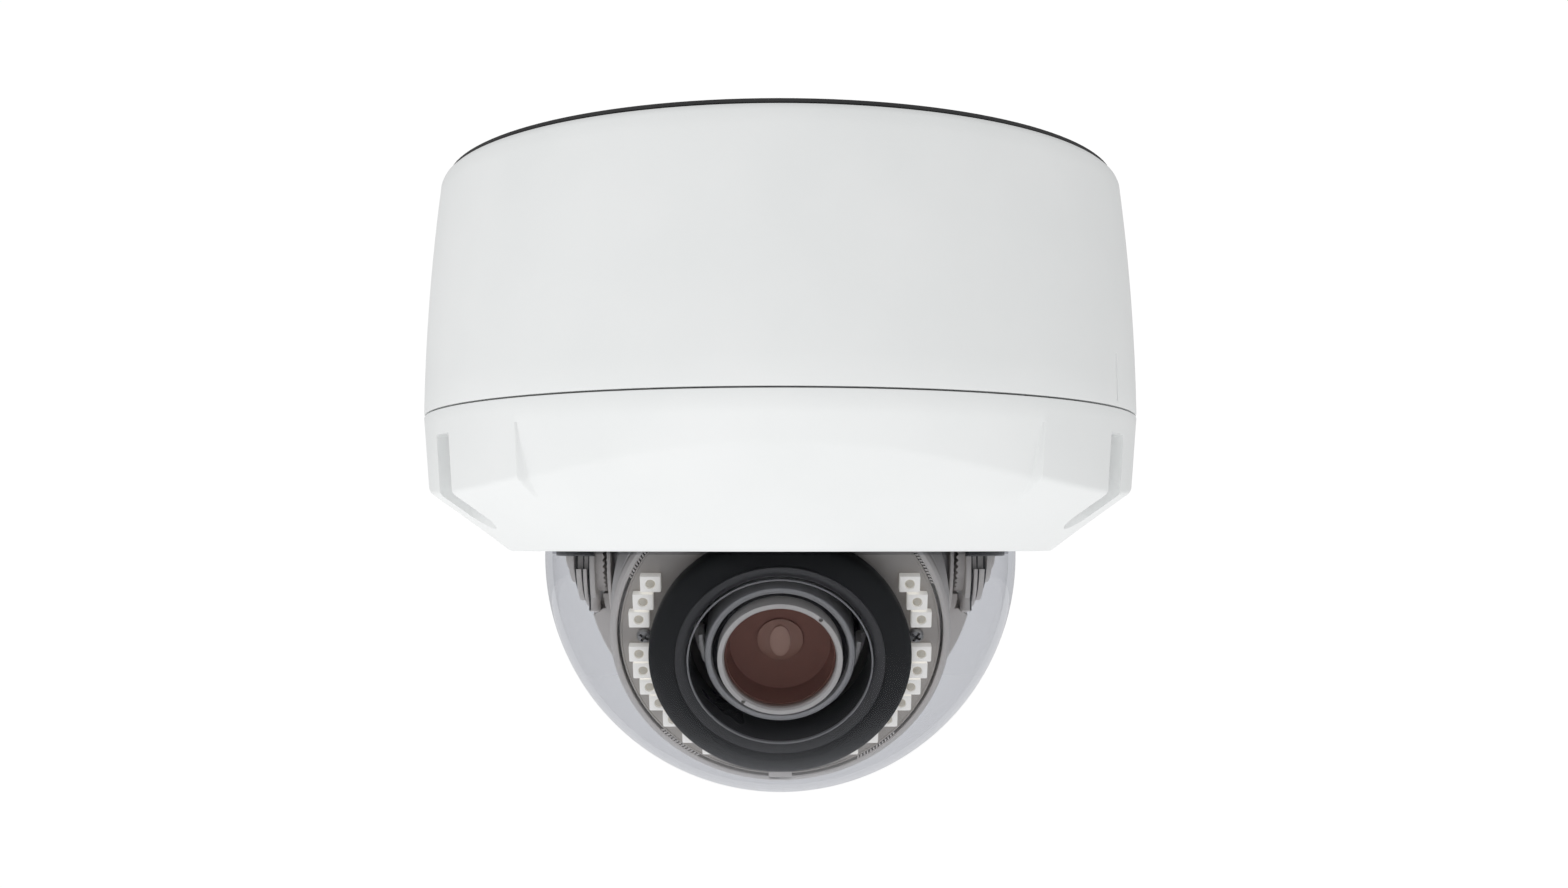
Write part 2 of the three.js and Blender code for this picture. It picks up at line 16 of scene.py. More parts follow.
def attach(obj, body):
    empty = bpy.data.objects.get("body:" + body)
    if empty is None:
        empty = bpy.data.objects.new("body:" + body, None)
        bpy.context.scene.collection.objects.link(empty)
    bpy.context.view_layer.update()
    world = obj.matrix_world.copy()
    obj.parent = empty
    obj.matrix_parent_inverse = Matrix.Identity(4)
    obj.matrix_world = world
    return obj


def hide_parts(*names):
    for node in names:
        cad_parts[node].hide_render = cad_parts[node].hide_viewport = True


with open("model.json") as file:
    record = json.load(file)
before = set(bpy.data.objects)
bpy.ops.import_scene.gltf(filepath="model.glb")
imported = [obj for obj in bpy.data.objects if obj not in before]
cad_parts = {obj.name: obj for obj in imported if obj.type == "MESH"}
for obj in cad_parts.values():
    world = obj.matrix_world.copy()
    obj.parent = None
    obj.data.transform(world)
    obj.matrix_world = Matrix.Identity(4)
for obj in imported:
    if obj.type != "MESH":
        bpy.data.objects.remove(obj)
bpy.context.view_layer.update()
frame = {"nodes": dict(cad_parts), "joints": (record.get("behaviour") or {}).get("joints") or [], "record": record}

MM = 0.001
JOINTS = {joint["name"]: joint for joint in frame["joints"]}
NODES = frame["nodes"]

# %% [markdown]
# ## Camera, floor and light
# The view is from just below the parting line, close to the object, so the camera is a wide one
# near the drum. Light could come from a studio picture, but a plain pale surround with one broad
# lamp in front and a weaker one on the left is simpler to adjust. The floor is a plain pale disc.
# It has a little light of its own, so that it stays as pale as the surround behind it.

# %% Camera
CAMERA_PLACE = Vector((0.76, -317.25, -76.44)) * MM
CAMERA_PITCH = math.radians(3.98)
SENSOR_WIDTH = 36.0
LENS_LENGTH = 33.74


def add_camera():
    bpy.ops.object.camera_add(location=CAMERA_PLACE, rotation=(math.pi / 2 + CAMERA_PITCH, 0, 0))
    camera = bpy.context.object
    camera.name = "view_camera"
    camera.data.lens = LENS_LENGTH
    camera.data.sensor_width = SENSOR_WIDTH
    camera.data.clip_start = 0.01
    bpy.context.scene.camera = camera


add_camera()

# %% Surround, lamps and floor
SURROUND = 0.62
BACKDROP_WHITE = 1.02
FLOOR_HEIGHT = -0.62
FLOOR_RADIUS = 6
FLOOR_GLOW = 0.46


def add_surround():
    world = bpy.data.worlds.new("soft_surround")
    bpy.context.scene.world = world
    world.use_nodes = True
    tree = world.node_tree
    output = tree.nodes["World Output"]
    lighting = tree.nodes["Background"]
    lighting.inputs["Color"].default_value = (1.0, 1.0, 1.0, 1)
    lighting.inputs["Strength"].default_value = SURROUND
    backdrop = tree.nodes.new("ShaderNodeBackground")
    backdrop.inputs["Color"].default_value = (1.0, 1.0, 1.0, 1)
    backdrop.inputs["Strength"].default_value = BACKDROP_WHITE
    path = tree.nodes.new("ShaderNodeLightPath")
    mix = tree.nodes.new("ShaderNodeMixShader")
    tree.links.new(path.outputs["Is Camera Ray"], mix.inputs["Fac"])
    tree.links.new(lighting.outputs["Background"], mix.inputs[1])
    tree.links.new(backdrop.outputs["Background"], mix.inputs[2])
    tree.links.new(mix.outputs["Shader"], output.inputs["Surface"])


def add_lamp(name, place, target, size, power):
    bpy.ops.object.light_add(type="AREA", location=place)
    lamp = bpy.context.object
    lamp.name = name
    lamp.data.shape = "DISK"
    lamp.data.size = size
    lamp.data.energy = power
    lamp.rotation_euler = (Vector(target) - Vector(place)).to_track_quat("-Z", "Y").to_euler()
    lamp.visible_glossy = False


add_surround()
add_lamp("front_lamp", (-0.14, -1.02, -0.18), (0, 0, -0.07), 0.7, 1.7)
add_lamp("left_lamp", (-0.9, -0.3, 0.10), (0, 0, -0.05), 0.6, 1.0)
bpy.context.scene.view_settings.view_transform = "Standard"
bpy.context.scene.cycles.use_denoising = True

bpy.ops.mesh.primitive_circle_add(vertices=64, radius=FLOOR_RADIUS, fill_type="NGON",
                                  location=(0, 0, FLOOR_HEIGHT))
floor = bpy.context.object
floor.name = "pale_floor"
print("floor", FLOOR_HEIGHT)

# %% [markdown]
# ## Materials
# Each finish is a small node tree on Object coordinates. The same few helpers make them: one
# noise for the fine surface, one larger noise for slow changes of roughness and tone.

# %% Material helpers


def new_material(name, color, roughness, metallic=0.0):
    material = bpy.data.materials.new(name)
    material.use_nodes = True
    shader = material.node_tree.nodes["Principled BSDF"]
    shader.inputs["Base Color"].default_value = (*color, 1)
    shader.inputs["Roughness"].default_value = roughness
    shader.inputs["Metallic"].default_value = metallic
    material.diffuse_color = (*color, 1)
    return material, material.node_tree, shader


def object_noise(tree, scale, detail=2.0, roughness=0.5, stretch=(1, 1, 1)):
    coords = tree.nodes.new("ShaderNodeTexCoord")
    mapping = tree.nodes.new("ShaderNodeMapping")
    mapping.inputs["Scale"].default_value = stretch
    noise = tree.nodes.new("ShaderNodeTexNoise")
    noise.inputs["Scale"].default_value = scale
    noise.inputs["Detail"].default_value = detail
    noise.inputs["Roughness"].default_value = roughness
    tree.links.new(coords.outputs["Object"], mapping.inputs["Vector"])
    tree.links.new(mapping.outputs["Vector"], noise.inputs["Vector"])
    return noise.outputs["Fac"]


def spread(tree, source, low, high):
    remap = tree.nodes.new("ShaderNodeMapRange")
    remap.inputs["From Min"].default_value = 0.3
    remap.inputs["From Max"].default_value = 0.7
    remap.inputs["To Min"].default_value = low
    remap.inputs["To Max"].default_value = high
    tree.links.new(source, remap.inputs["Value"])
    return remap.outputs["Result"]


def tone(tree, source, dark, light):
    mix = tree.nodes.new("ShaderNodeMix")
    mix.data_type = "RGBA"
    mix.inputs["A"].default_value = (*dark, 1)
    mix.inputs["B"].default_value = (*light, 1)
    tree.links.new(source, mix.inputs["Factor"])
    return mix.outputs["Result"]


def add_bump(tree, shader, source, depth, strength=1.0):
    bump = tree.nodes.new("ShaderNodeBump")
    bump.inputs["Distance"].default_value = depth
    bump.inputs["Strength"].default_value = strength
    tree.links.new(source, bump.inputs["Height"])
    tree.links.new(bump.outputs["Normal"], shader.inputs["Normal"])


def moulded(name, dark, light, roughness, grain, grain_depth, metallic=0.0):
    """A painted or moulded surface: slow changes of tone and gloss over a fine even grain."""
    material, tree, shader = new_material(name, light, roughness, metallic)
    slow = object_noise(tree, 45, 3)
    fine = object_noise(tree, grain, 2)
    tree.links.new(tone(tree, spread(tree, slow, 0, 1), dark, light), shader.inputs["Base Color"])
    gloss = spread(tree, slow, roughness * 0.9, roughness * 1.12)
    tree.links.new(gloss, shader.inputs["Roughness"])
    add_bump(tree, shader, fine, grain_depth)
    return material


def painted_glow(material, color, strength):
    """Painted light: a glow on parts that are no lamp, which keeps the small white plastics from looking grey."""
    shader = material.node_tree.nodes["Principled BSDF"]
    shader.inputs["Emission Color"].default_value = (*color, 1)
    shader.inputs["Emission Strength"].default_value = strength


# %% [markdown]
# The drum and cover are powder coated, the gimbal is moulded in grey plastic and the module is
# sprayed silver. The greys inside the dome are lighter than the real ones, because the tinted
# dome darkens them twice. Turned metal needs streaks that run round it, so it has its own helper.

# %% The finishes
floor_paint, _, floor_shader = new_material("floor_paint", (0.93, 0.93, 0.93), 0.9)
floor_shader.inputs["Specular IOR Level"].default_value = 0.1
floor_shader.inputs["Emission Color"].default_value = (1, 1, 1, 1)
floor_shader.inputs["Emission Strength"].default_value = FLOOR_GLOW
floor.data.materials.append(floor_paint)

powder_coat = moulded("powder_coat", (0.755, 0.77, 0.77), (0.78, 0.792, 0.792), 0.42, 1500, 1.1e-5)
taupe = moulded("taupe_moulding", (0.57, 0.545, 0.52), (0.62, 0.59, 0.565), 0.38, 2600, 6e-6)
silver = moulded("silver_paint", (0.66, 0.645, 0.63), (0.72, 0.705, 0.69), 0.30, 3000, 4e-6, 0.1)
liner_black = moulded("liner_black", (0.018, 0.018, 0.020), (0.028, 0.028, 0.030), 0.5, 1800, 2e-5)
board_satin = moulded("board_satin", (0.37, 0.345, 0.32), (0.42, 0.395, 0.365), 0.34, 2200, 4e-6)
rubber_black = moulded("rubber_black", (0.008, 0.009, 0.010), (0.011, 0.012, 0.013), 0.62, 2400, 2e-6)
rubber_black.node_tree.nodes["Principled BSDF"].inputs["Specular IOR Level"].default_value = 0.3
seal_black = moulded("seal_black", (0.02, 0.02, 0.021), (0.04, 0.04, 0.041), 0.85, 1400, 6e-5)
lens_black = moulded("lens_black", (0.010, 0.010, 0.011), (0.016, 0.016, 0.018), 0.38, 3000, 8e-6)
resist_green = moulded("resist_green", (0.012, 0.07, 0.035), (0.02, 0.11, 0.06), 0.35, 900, 1e-5)
emitter_white_painted_glow = moulded("emitter_white_painted_glow", (0.86, 0.84, 0.79), (0.92, 0.905, 0.87), 0.45, 2800, 4e-6)


# The LED packages get a painted glow; the LEDs are not lit.
painted_glow(emitter_white_painted_glow, (1.0, 0.97, 0.9), 0.3)


def turned_metal(name, color, roughness, metallic=1.0, lines=9000, depth=2.5e-6):
    """Metal off a lathe or a grinder: fine streaks run round, so the grain is long in Z."""
    material, tree, shader = new_material(name, color, roughness, metallic)
    streaks = object_noise(tree, lines, 1, 0.4, (1, 1, 0.04))
    patches = object_noise(tree, 120, 2)
    gloss = spread(tree, patches, roughness * 0.85, roughness * 1.2)
    tree.links.new(gloss, shader.inputs["Roughness"])
    darker = tuple(c * 0.88 for c in color)
    shade = tone(tree, spread(tree, streaks, 0, 1), darker, color)
    tree.links.new(shade, shader.inputs["Base Color"])
    add_bump(tree, shader, streaks, depth)
    return material


stainless = turned_metal("stainless", (0.56, 0.56, 0.55), 0.3)
zinc = turned_metal("zinc_plate", (0.55, 0.57, 0.6), 0.38)
screw_dark = turned_metal("screw_blackened", (0.30, 0.30, 0.30), 0.3, 0.4)
ring_grey = turned_metal("anodised_grey", (0.36, 0.36, 0.365), 0.36, 0.15)
ring_light = turned_metal("anodised_light", (0.56, 0.54, 0.52), 0.34, 0.15)
dark_alloy = turned_metal("heatsink_alloy", (0.06, 0.06, 0.065), 0.45, 0.7)

# %% [markdown]
# The dome is 1.5 mm of polycarbonate. Light goes straight through such a thin even wall, so the
# material passes it unbent with a faint violet-grey tint at the outer face only, and mirrors the
# surround towards grazing angles. A refracting glass shader would bend the light and shadow the
# module. Here the facing angle mixes a transparent and a mirror shader, and the lamps reach in.

# %% Clear dome material


GRAZING_POWER = 5.0
GRAZING_MIRROR = 0.45


def clear_material(name, tint, mirror_tone, gloss_roughness, straight_mirror):
    material, tree, shader = new_material(name, mirror_tone, gloss_roughness, 1.0)
    output = tree.nodes["Material Output"]
    clear = tree.nodes.new("ShaderNodeBsdfTransparent")
    clear.inputs["Color"].default_value = (*tint, 1)
    weight = tree.nodes.new("ShaderNodeLayerWeight")
    weight.inputs["Blend"].default_value = 0.5
    grazing = tree.nodes.new("ShaderNodeMath")
    grazing.operation = "POWER"
    grazing.inputs[1].default_value = GRAZING_POWER
    share = tree.nodes.new("ShaderNodeMath")
    share.operation = "MULTIPLY_ADD"
    share.inputs[1].default_value = GRAZING_MIRROR
    share.inputs[2].default_value = straight_mirror
    mix = tree.nodes.new("ShaderNodeMixShader")
    tree.links.new(weight.outputs["Facing"], grazing.inputs[0])
    tree.links.new(grazing.outputs["Value"], share.inputs[0])
    tree.links.new(share.outputs["Value"], mix.inputs["Fac"])
    tree.links.new(clear.outputs["BSDF"], mix.inputs[1])
    tree.links.new(shader.outputs["BSDF"], mix.inputs[2])
    tree.links.new(mix.outputs["Shader"], output.inputs["Surface"])
    return material


dome_clear = clear_material("dome_clear", (0.72, 0.727, 0.748), (0.9, 0.9, 0.93), 0.03, 0.001)
dome_inside = clear_material("dome_inside", (1, 1, 1), (0.9, 0.9, 0.93), 0.03, 0.0)
front_glass = clear_material("front_glass", (0.93, 0.86, 0.84), (0.75, 0.6, 0.56), 0.05, 0.0)

# %% [markdown]
# ## Modelling helpers
# Most of the camera is round, so most pieces are turned: a closed outline of radius and height
# is spun round the Z axis in edit mode, its doubles merged and its sharp edges given a small
# bevel. The pieces of the module are made upright at the origin, as on a bench, and then laid
# into the tilted lens frame, which comes from the frame's own joints.

# %% Helpers
TILT_CENTRE = Vector(JOINTS["tilt"]["pos_m"])
LENS_AXIS = Vector(JOINTS["image_rotation"]["axis"]).normalized()
LENS_UP = LENS_AXIS.cross(Vector((1, 0, 0)))
TILT_FRAME = Matrix.Translation(TILT_CENTRE) @ Matrix(
    ((1, LENS_UP.x, LENS_AXIS.x), (0, LENS_UP.y, LENS_AXIS.y), (0, LENS_UP.z, LENS_AXIS.z))
).to_4x4()
AXIS_DROP = (Vector(JOINTS["image_rotation"]["pos_m"]) - TILT_CENTRE).length
LENS_FRAME = TILT_FRAME @ Matrix.Translation((0, -AXIS_DROP, 0))
print("lens axis", LENS_AXIS, "drop", AXIS_DROP)


def deselect():
    if bpy.context.object and bpy.context.object.mode != "OBJECT":
        bpy.ops.object.mode_set(mode="OBJECT")
    bpy.ops.object.select_all(action="DESELECT")


def work_on(piece):
    deselect()
    piece.select_set(True)
    bpy.context.view_layer.objects.active = piece


def edit(piece):
    work_on(piece)
    bpy.ops.object.mode_set(mode="EDIT")
    bpy.ops.mesh.select_all(action="SELECT")


def done():
    bpy.ops.object.mode_set(mode="OBJECT")


def apply_modifier(piece, kind, **settings):
    work_on(piece)
    modifier = piece.modifiers.new(kind.lower(), kind)
    for key, value in settings.items():
        setattr(modifier, key, value)
    bpy.ops.object.modifier_apply(modifier=modifier.name)


def bevel(piece, width, segments=2, angle=30):
    apply_modifier(piece, "BEVEL", width=width * MM, segments=segments, limit_method="ANGLE",
                   angle_limit=math.radians(angle), use_clamp_overlap=True)


def clean(piece):
    edit(piece)
    bpy.ops.mesh.remove_doubles(threshold=1e-6)
    bpy.ops.mesh.dissolve_degenerate(threshold=1e-6)
    bpy.ops.mesh.delete_loose(use_verts=True, use_edges=True, use_faces=False)
    bpy.ops.mesh.select_all(action="SELECT")
    bpy.ops.mesh.normals_make_consistent(inside=False)
    done()


def smooth(piece, angle=35):
    work_on(piece)
    bpy.ops.object.shade_smooth_by_angle(angle=math.radians(angle))


def lay(piece, place):
    """Moves the mesh into a frame, so that the finished object itself sits at the origin."""
    work_on(piece)
    piece.matrix_world = place
    bpy.ops.object.transform_apply(location=True, rotation=True, scale=True)


def turned(name, outline, segments=96, edge=0.0, edge_segments=2):
    """Spins a closed outline of (radius, height) points in mm round the Z axis."""
    deselect()
    bpy.ops.mesh.primitive_circle_add(vertices=len(outline), radius=0.01, fill_type="NOTHING")
    piece = bpy.context.object
    piece.name = name
    for vertex, (radius, height) in zip(piece.data.vertices, outline):
        vertex.co = (radius * MM, 0, height * MM)
    edit(piece)
    bpy.ops.mesh.spin(steps=segments, angle=2 * math.pi, center=(0, 0, 0), axis=(0, 0, 1))
    done()
    clean(piece)
    if edge:
        bevel(piece, edge, edge_segments)
    return piece


def block(name, low, high, edge=0.0, edge_segments=2):
    """A box between two corners in mm, its edges bevelled."""
    deselect()
    low, high = Vector(low) * MM, Vector(high) * MM
    bpy.ops.mesh.primitive_cube_add(size=1, location=(low + high) / 2)
    piece = bpy.context.object
    piece.name = name
    piece.scale = high - low
    bpy.ops.object.transform_apply(location=True, rotation=True, scale=True)
    if edge:
        bevel(piece, edge, edge_segments)
    return piece


def prism(name, outline, low, high):
    """A closed outline of (x, y) points in mm, drawn flat at `high` and extruded down to `low`."""
    deselect()
    bpy.ops.mesh.primitive_circle_add(vertices=len(outline), radius=0.01, fill_type="NGON")
    piece = bpy.context.object
    piece.name = name
    for vertex, (x, y) in zip(piece.data.vertices, outline):
        vertex.co = (x * MM, y * MM, high * MM)
    edit(piece)
    bpy.ops.mesh.extrude_region_move(TRANSFORM_OT_translate={"value": (0, 0, (low - high) * MM)})
    bpy.ops.mesh.select_all(action="SELECT")
    bpy.ops.mesh.normals_make_consistent(inside=False)
    done()
    return piece


def rod(name, radius, low, high, place=(0, 0), sides=32, edge=0.0):
    deselect()
    bpy.ops.mesh.primitive_cylinder_add(vertices=sides, radius=radius * MM, depth=(high - low) * MM,
                                        location=(place[0] * MM, place[1] * MM, (low + high) / 2 * MM))
    piece = bpy.context.object
    piece.name = name
    bpy.ops.object.transform_apply(location=True, rotation=True, scale=True)
    if edge:
        bevel(piece, edge)
    return piece


def combine(piece, other, operation):
    """Cuts, joins or intersects two closed pieces and removes the second."""
    apply_modifier(piece, "BOOLEAN", operation=operation, object=other, solver="EXACT")
    bpy.data.objects.remove(other)


def cut(piece, *tools):
    for tool in tools:
        combine(piece, tool, "DIFFERENCE")


def merge_objects(first, others):
    deselect()
    for other in others:
        other.select_set(True)
    first.select_set(True)
    bpy.context.view_layer.objects.active = first
    bpy.ops.object.join()
    return first


def copy_of(piece, name):
    twin = piece.copy()
    twin.data = piece.data.copy()
    twin.name = name
    bpy.context.collection.objects.link(twin)
    return twin


def around(angle, radius):
    """A place in mm at an angle from the front (-Y) towards +X."""
    return (radius * math.sin(math.radians(angle)), -radius * math.cos(math.radians(angle)))


def turn_z(angle):
    return Matrix.Rotation(math.radians(angle), 4, "Z")


def finish(piece, material, body, nodes=(), angle=35):
    piece.data.materials.clear()
    piece.data.materials.append(material)
    smooth(piece, angle)
    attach(piece, body)
    if nodes:
        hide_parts(*nodes)
    print(piece.name, len(piece.data.polygons), "faces")
    return piece


# %% [markdown]
# ## The drum
# The back box is a die-cast cup: a flat ceiling plate with a wall that swells slightly towards
# the parting line. It is turned from one outline, whose long side is a shallow curve, and the
# holes are cut afterwards: three for the ceiling screws, the cable hole, and the side conduit
# entry with its flat spot face. A fine line on the side wall helps the fitter line up the lens.

# %% Drum
DRUM_RADIUS = 75.0
DRUM_SWELL = 2.95
SEAM = -50.0
SEAM_GAP = 0.15
PLATE = 4.5
LUG_ANGLES = (60, 180, 300)
LUG_RADIUS = 67.5
CEILING_SCREW_ANGLES = (30, 150, 270)
CEILING_SCREW_RADIUS = 58
LENS_MARK_ANGLE = 59
CABLE_Y = 40.0
CONDUIT_HEIGHT = -22.0


def drum_wall(height):
    share = (height - SEAM) / -SEAM
    return DRUM_RADIUS - DRUM_SWELL * share ** 2


def make_drum():
    side = [(drum_wall(z), z) for z in (-2.3, -5, -9, -14, -20, -26, -32, -38, -44, -49.3)]
    lip = [(70.9, -1.0), (71.5, -1.1), (71.95, -1.5)]
    foot = [(74.85, SEAM + SEAM_GAP), (71, SEAM + SEAM_GAP), (70, -PLATE), (0, -PLATE)]
    drum = turned("drum_shell", [(0, 0), (65.7, 0), (66, -0.3), (66, -1.0)] + lip + side + foot, 180)
    for angle in LUG_ANGLES:
        post = rod("post", 4.6, SEAM + SEAM_GAP, -PLATE + 0.5, around(angle, LUG_RADIUS), 24)
        combine(drum, post, "UNION")
        cut(drum, rod("bore", 2.1, SEAM - 1, -32, around(angle, LUG_RADIUS), 24))
    for angle in CEILING_SCREW_ANGLES:
        cut(drum, rod("hole", 2.6, -PLATE - 1, 1, around(angle, CEILING_SCREW_RADIUS), 32))
        cut(drum, sink_tool(angle))
    cut(drum, rod("cable_hole", 9, -PLATE - 1, 1, (0, CABLE_Y), 48))
    cut(drum, rod("counterbore", 11.5, -1.6, 1, (0, CABLE_Y), 48))
    for radius, start in ((9.8, 60), (12.6, 73)):
        bore = rod("conduit", radius, start, 80, (0, 0), 64)
        lay(bore, Matrix.Translation((0, 0, CONDUIT_HEIGHT * MM)) @ Matrix.Rotation(-math.pi / 2, 4, "X"))
        cut(drum, bore)
    mark = block("mark", (-0.3, -76, SEAM + 1.2), (0.3, -drum_wall(-45) + 0.25, SEAM + 10.4))
    lay(mark, turn_z(LENS_MARK_ANGLE))
    cut(drum, mark)
    return drum


def sink_tool(angle):
    sink = turned("sink", [(0, 0.5), (5.4, 0.5), (2.6, -2.3), (0, -2.3)], 32)
    x, y = around(angle, CEILING_SCREW_RADIUS)
    lay(sink, Matrix.Translation((x * MM, y * MM, 0)))
    return sink


finish(make_drum(), powder_coat, "root", ["back_box"], 28)

# %% [markdown]
# ## What closes the drum
# A flat foam gasket seals the drum to the ceiling, a grommet seals the cable, and a slotted plug
# closes the side entry. All three are turned; the plug gets its slot by a cut.

# %% Gasket, grommet and plug


def make_plug():
    outline = [(0, 66), (9.4, 66), (9.4, 73.3), (12.2, 73.3), (12.2, 74.2), (11.6, 74.8), (0, 74.8)]
    plug = turned("conduit_plug_cap", outline, 64)
    cut(plug, block("slot", (-6, -0.8, 73.8), (6, 0.8, 76)))
    lay(plug, Matrix.Translation((0, 0, CONDUIT_HEIGHT * MM)) @ Matrix.Rotation(-math.pi / 2, 4, "X"))
    bevel(plug, 0.15, 2, 40)
    return plug


gasket = turned("ceiling_gasket", [(66.3, -0.7), (70.9, -0.7), (70.9, 0), (66.3, 0)], 144, 0.15)
finish(gasket, seal_black, "root", ["mounting_gasket"])
grommet = turned("cable_seal", [(3.5, -0.3), (11.1, -0.3), (11.1, -1.3), (8.7, -1.3), (8.7, -4.8),
                                (11.1, -4.8), (11.1, -6.8), (6, -8.4), (5, -12), (3.5, -12)], 64, 0.25)
lay(grommet, Matrix.Translation((0, CABLE_Y * MM, 0)))
finish(grommet, seal_black, "root", ["cable_grommet"])
finish(make_plug(), powder_coat, "root", ["conduit_plug"], 25)

# %% [markdown]
# ## The cover ring
# The cover is the camera's most distinctive casting. Its wall drops from the parting line to a
# crease that rises and falls three times round the ring, then a cone of straight rules runs in to
# the rim. Between the three screw lugs the panels are set back, with a soft step at the top and a
# steep side wall. One column of the surface is a short list of corners that depends only on the
# angle, so the ring starts as an open cylinder, is extruded edge loop by edge loop, and each new
# loop is set to its radius and height. Every corner becomes a small arc, which rounds the edges.

# %% Cover surface
RIM_Z = -77.4
RIM_RADIUS = 57.2
WALL_FOOT = 73.7
RECESS_FOOT = 71.9
RECESS_HALF = 38.5
RECESS_SOFT = 0.75
STEP_Z = SEAM - 3.5
FADE_Z = -68.2


def crease(angle):
    return SEAM - 12.75 + 3.75 * math.cos(math.radians(3 * angle))


def recess_share(angle):
    """1 inside a recessed panel, 0 on a lug, with a soft change at the side wall."""
    off = abs((angle + 60) % 120 - 60)
    t = min(max((RECESS_HALF + RECESS_SOFT - off) / RECESS_SOFT, 0), 1)
    return t * t * (3 - 2 * t)


def corner(before, point, after, reach, steps):
    """Replaces a corner by a small curve that starts and ends `reach` from it."""
    p = Vector(point)
    start = p + (Vector(before) - p).normalized() * reach
    end = p + (Vector(after) - p).normalized() * reach
    curve = []
    for i in range(steps + 1):
        t = i / steps
        curve.append(tuple(start * (1 - t) ** 2 + p * 2 * t * (1 - t) + end * t ** 2))
    return curve


def cover_column(angle):
    z = crease(angle)
    share = recess_share(angle)
    foot = WALL_FOOT + (RECESS_FOOT - WALL_FOOT) * share
    slope = (WALL_FOOT - RIM_RADIUS) / (z - RIM_Z)
    step = (DRUM_RADIUS + (WALL_FOOT - DRUM_RADIUS) * (STEP_Z - SEAM) / (z - SEAM), STEP_Z)
    top = (DRUM_RADIUS, SEAM - SEAM_GAP)
    fold = (foot, z)
    fade = (RIM_RADIUS + (FADE_Z - RIM_Z) * slope, FADE_Z)
    rim = (RIM_RADIUS, RIM_Z)
    inner = (50.4, RIM_Z)
    column = corner((70, top[1]), top, step, 0.3, 2)
    column += corner(top, step, fold, 1.0, 4)
    column += corner(step, fold, fade, 0.8, 5)
    column += corner(fold, fade, rim, 1.5, 3)
    column += corner(fade, rim, inner, 0.5, 3)
    column += [inner, (50.4, -75), (56, -75), (56, -69.6), (59.3, -69.6), (60, -66), (69.5, -55),
               (69.5, SEAM - SEAM_GAP)]
    return column


def cover_angles():
    """Even steps, with closer ones across each recess side wall."""
    angles = [a * 1.25 for a in range(288)]
    for panel in (0, 120, 240):
        for side in (-1, 1):
            for k in range(9):
                angles.append((panel + side * (RECESS_HALF - 0.1 + k * (RECESS_SOFT + 0.2) / 8)) % 360)
    kept = []
    for a in sorted(angles):
        if not kept or a - kept[-1] > 0.07:
            kept.append(a)
    return kept


def make_cover_shell():
    angles = cover_angles()
    columns = [cover_column(a) for a in angles]
    deselect()
    bpy.ops.mesh.primitive_circle_add(vertices=len(angles), radius=0.07, fill_type="NOTHING")
    shell = bpy.context.object
    shell.name = "cover_ring"
    count = len(angles)
    for row in range(len(columns[0])):
        if row:
            edit(shell)
            bpy.ops.mesh.select_all(action="DESELECT")
            done()
            for i, vertex in enumerate(shell.data.vertices):
                vertex.select = i >= (row - 1) * count
            for edge in shell.data.edges:
                edge.select = all(v >= (row - 1) * count for v in edge.vertices)
            bpy.ops.object.mode_set(mode="EDIT")
            bpy.ops.mesh.select_mode(type="EDGE")
            bpy.ops.mesh.extrude_edges_move()
            done()
        for i, angle in enumerate(angles):
            x, y = around(angle, columns[i][row][0])
            shell.data.vertices[row * count + i].co = (x * MM, y * MM, columns[i][row][1] * MM)
    edit(shell)
    bpy.ops.mesh.select_all(action="DESELECT")
    done()
    last = (len(columns[0]) - 1) * count
    for edge in shell.data.edges:
        a, b = edge.vertices
        edge.select = (a < count and b < count) or (a >= last and b >= last)
    bpy.ops.object.mode_set(mode="EDIT")
    bpy.ops.mesh.select_mode(type="EDGE")
    bpy.ops.mesh.bridge_edge_loops()
    bpy.ops.mesh.select_all(action="SELECT")
    bpy.ops.mesh.normals_make_consistent(inside=False)
    done()
    return shell


# %% [markdown]
# The lugs carry the screws. A pad inside each lug takes the screw's clearance hole, and a slot
# with a round inner end, open outwards and downwards, lets the driver reach the screw head.

# %% Lugs and slots
SLOT_WIDTH = 7.5
SLOT_CEILING = -55.0


def slot_tool(angle):
    half = SLOT_WIDTH / 2
    outline = [(half, -90), (-half, -90)]
    for i in range(25):
        turn = math.pi * i / 24
        outline.append((-half * math.cos(turn), -LUG_RADIUS + half * math.sin(turn)))
    tool = prism("slot_tool", outline, -90, SLOT_CEILING)
    bevel(tool, 0.5, 3, 60)
    lay(tool, turn_z(angle))
    return tool


def make_cover():
    shell = make_cover_shell()
    for angle in LUG_ANGLES:
        pad = rod("pad", 6.2, -67, SEAM - SEAM_GAP - 0.01, around(angle, LUG_RADIUS - 0.8), 32)
        combine(shell, pad, "UNION")
        cut(shell, slot_tool(angle))
        cut(shell, rod("hole", 2.3, -60, -40, around(angle, LUG_RADIUS), 24))
    return shell


finish(make_cover(), powder_coat, "root", ["cover"], 25)

# %% [markdown]
# The cover's screws are tamper-proof: a hexagonal socket with a pin in the middle. One is turned
# and cut, and each lug gets a copy turned to another angle, as a fitter would leave them.

# %% Cover screws


def make_cover_screw():
    top = SLOT_CEILING - 0.3
    outline = [(0, top + 20), (1.8, top + 20), (1.8, top), (3.2, top), (3.3, top - 0.4),
               (3.1, top - 1.6), (2.5, top - 2.6), (1.6, top - 3.1), (0, top - 3.2)]
    body = turned("screw", outline, 40)
    cut(body, rod("socket", 1.5, top - 5, top - 1.9, (0, 0), 6))
    pin = rod("pin", 0.45, top - 3.0, top - 1.5, (0, 0), 16, 0.1)
    return merge_objects(body, [pin])


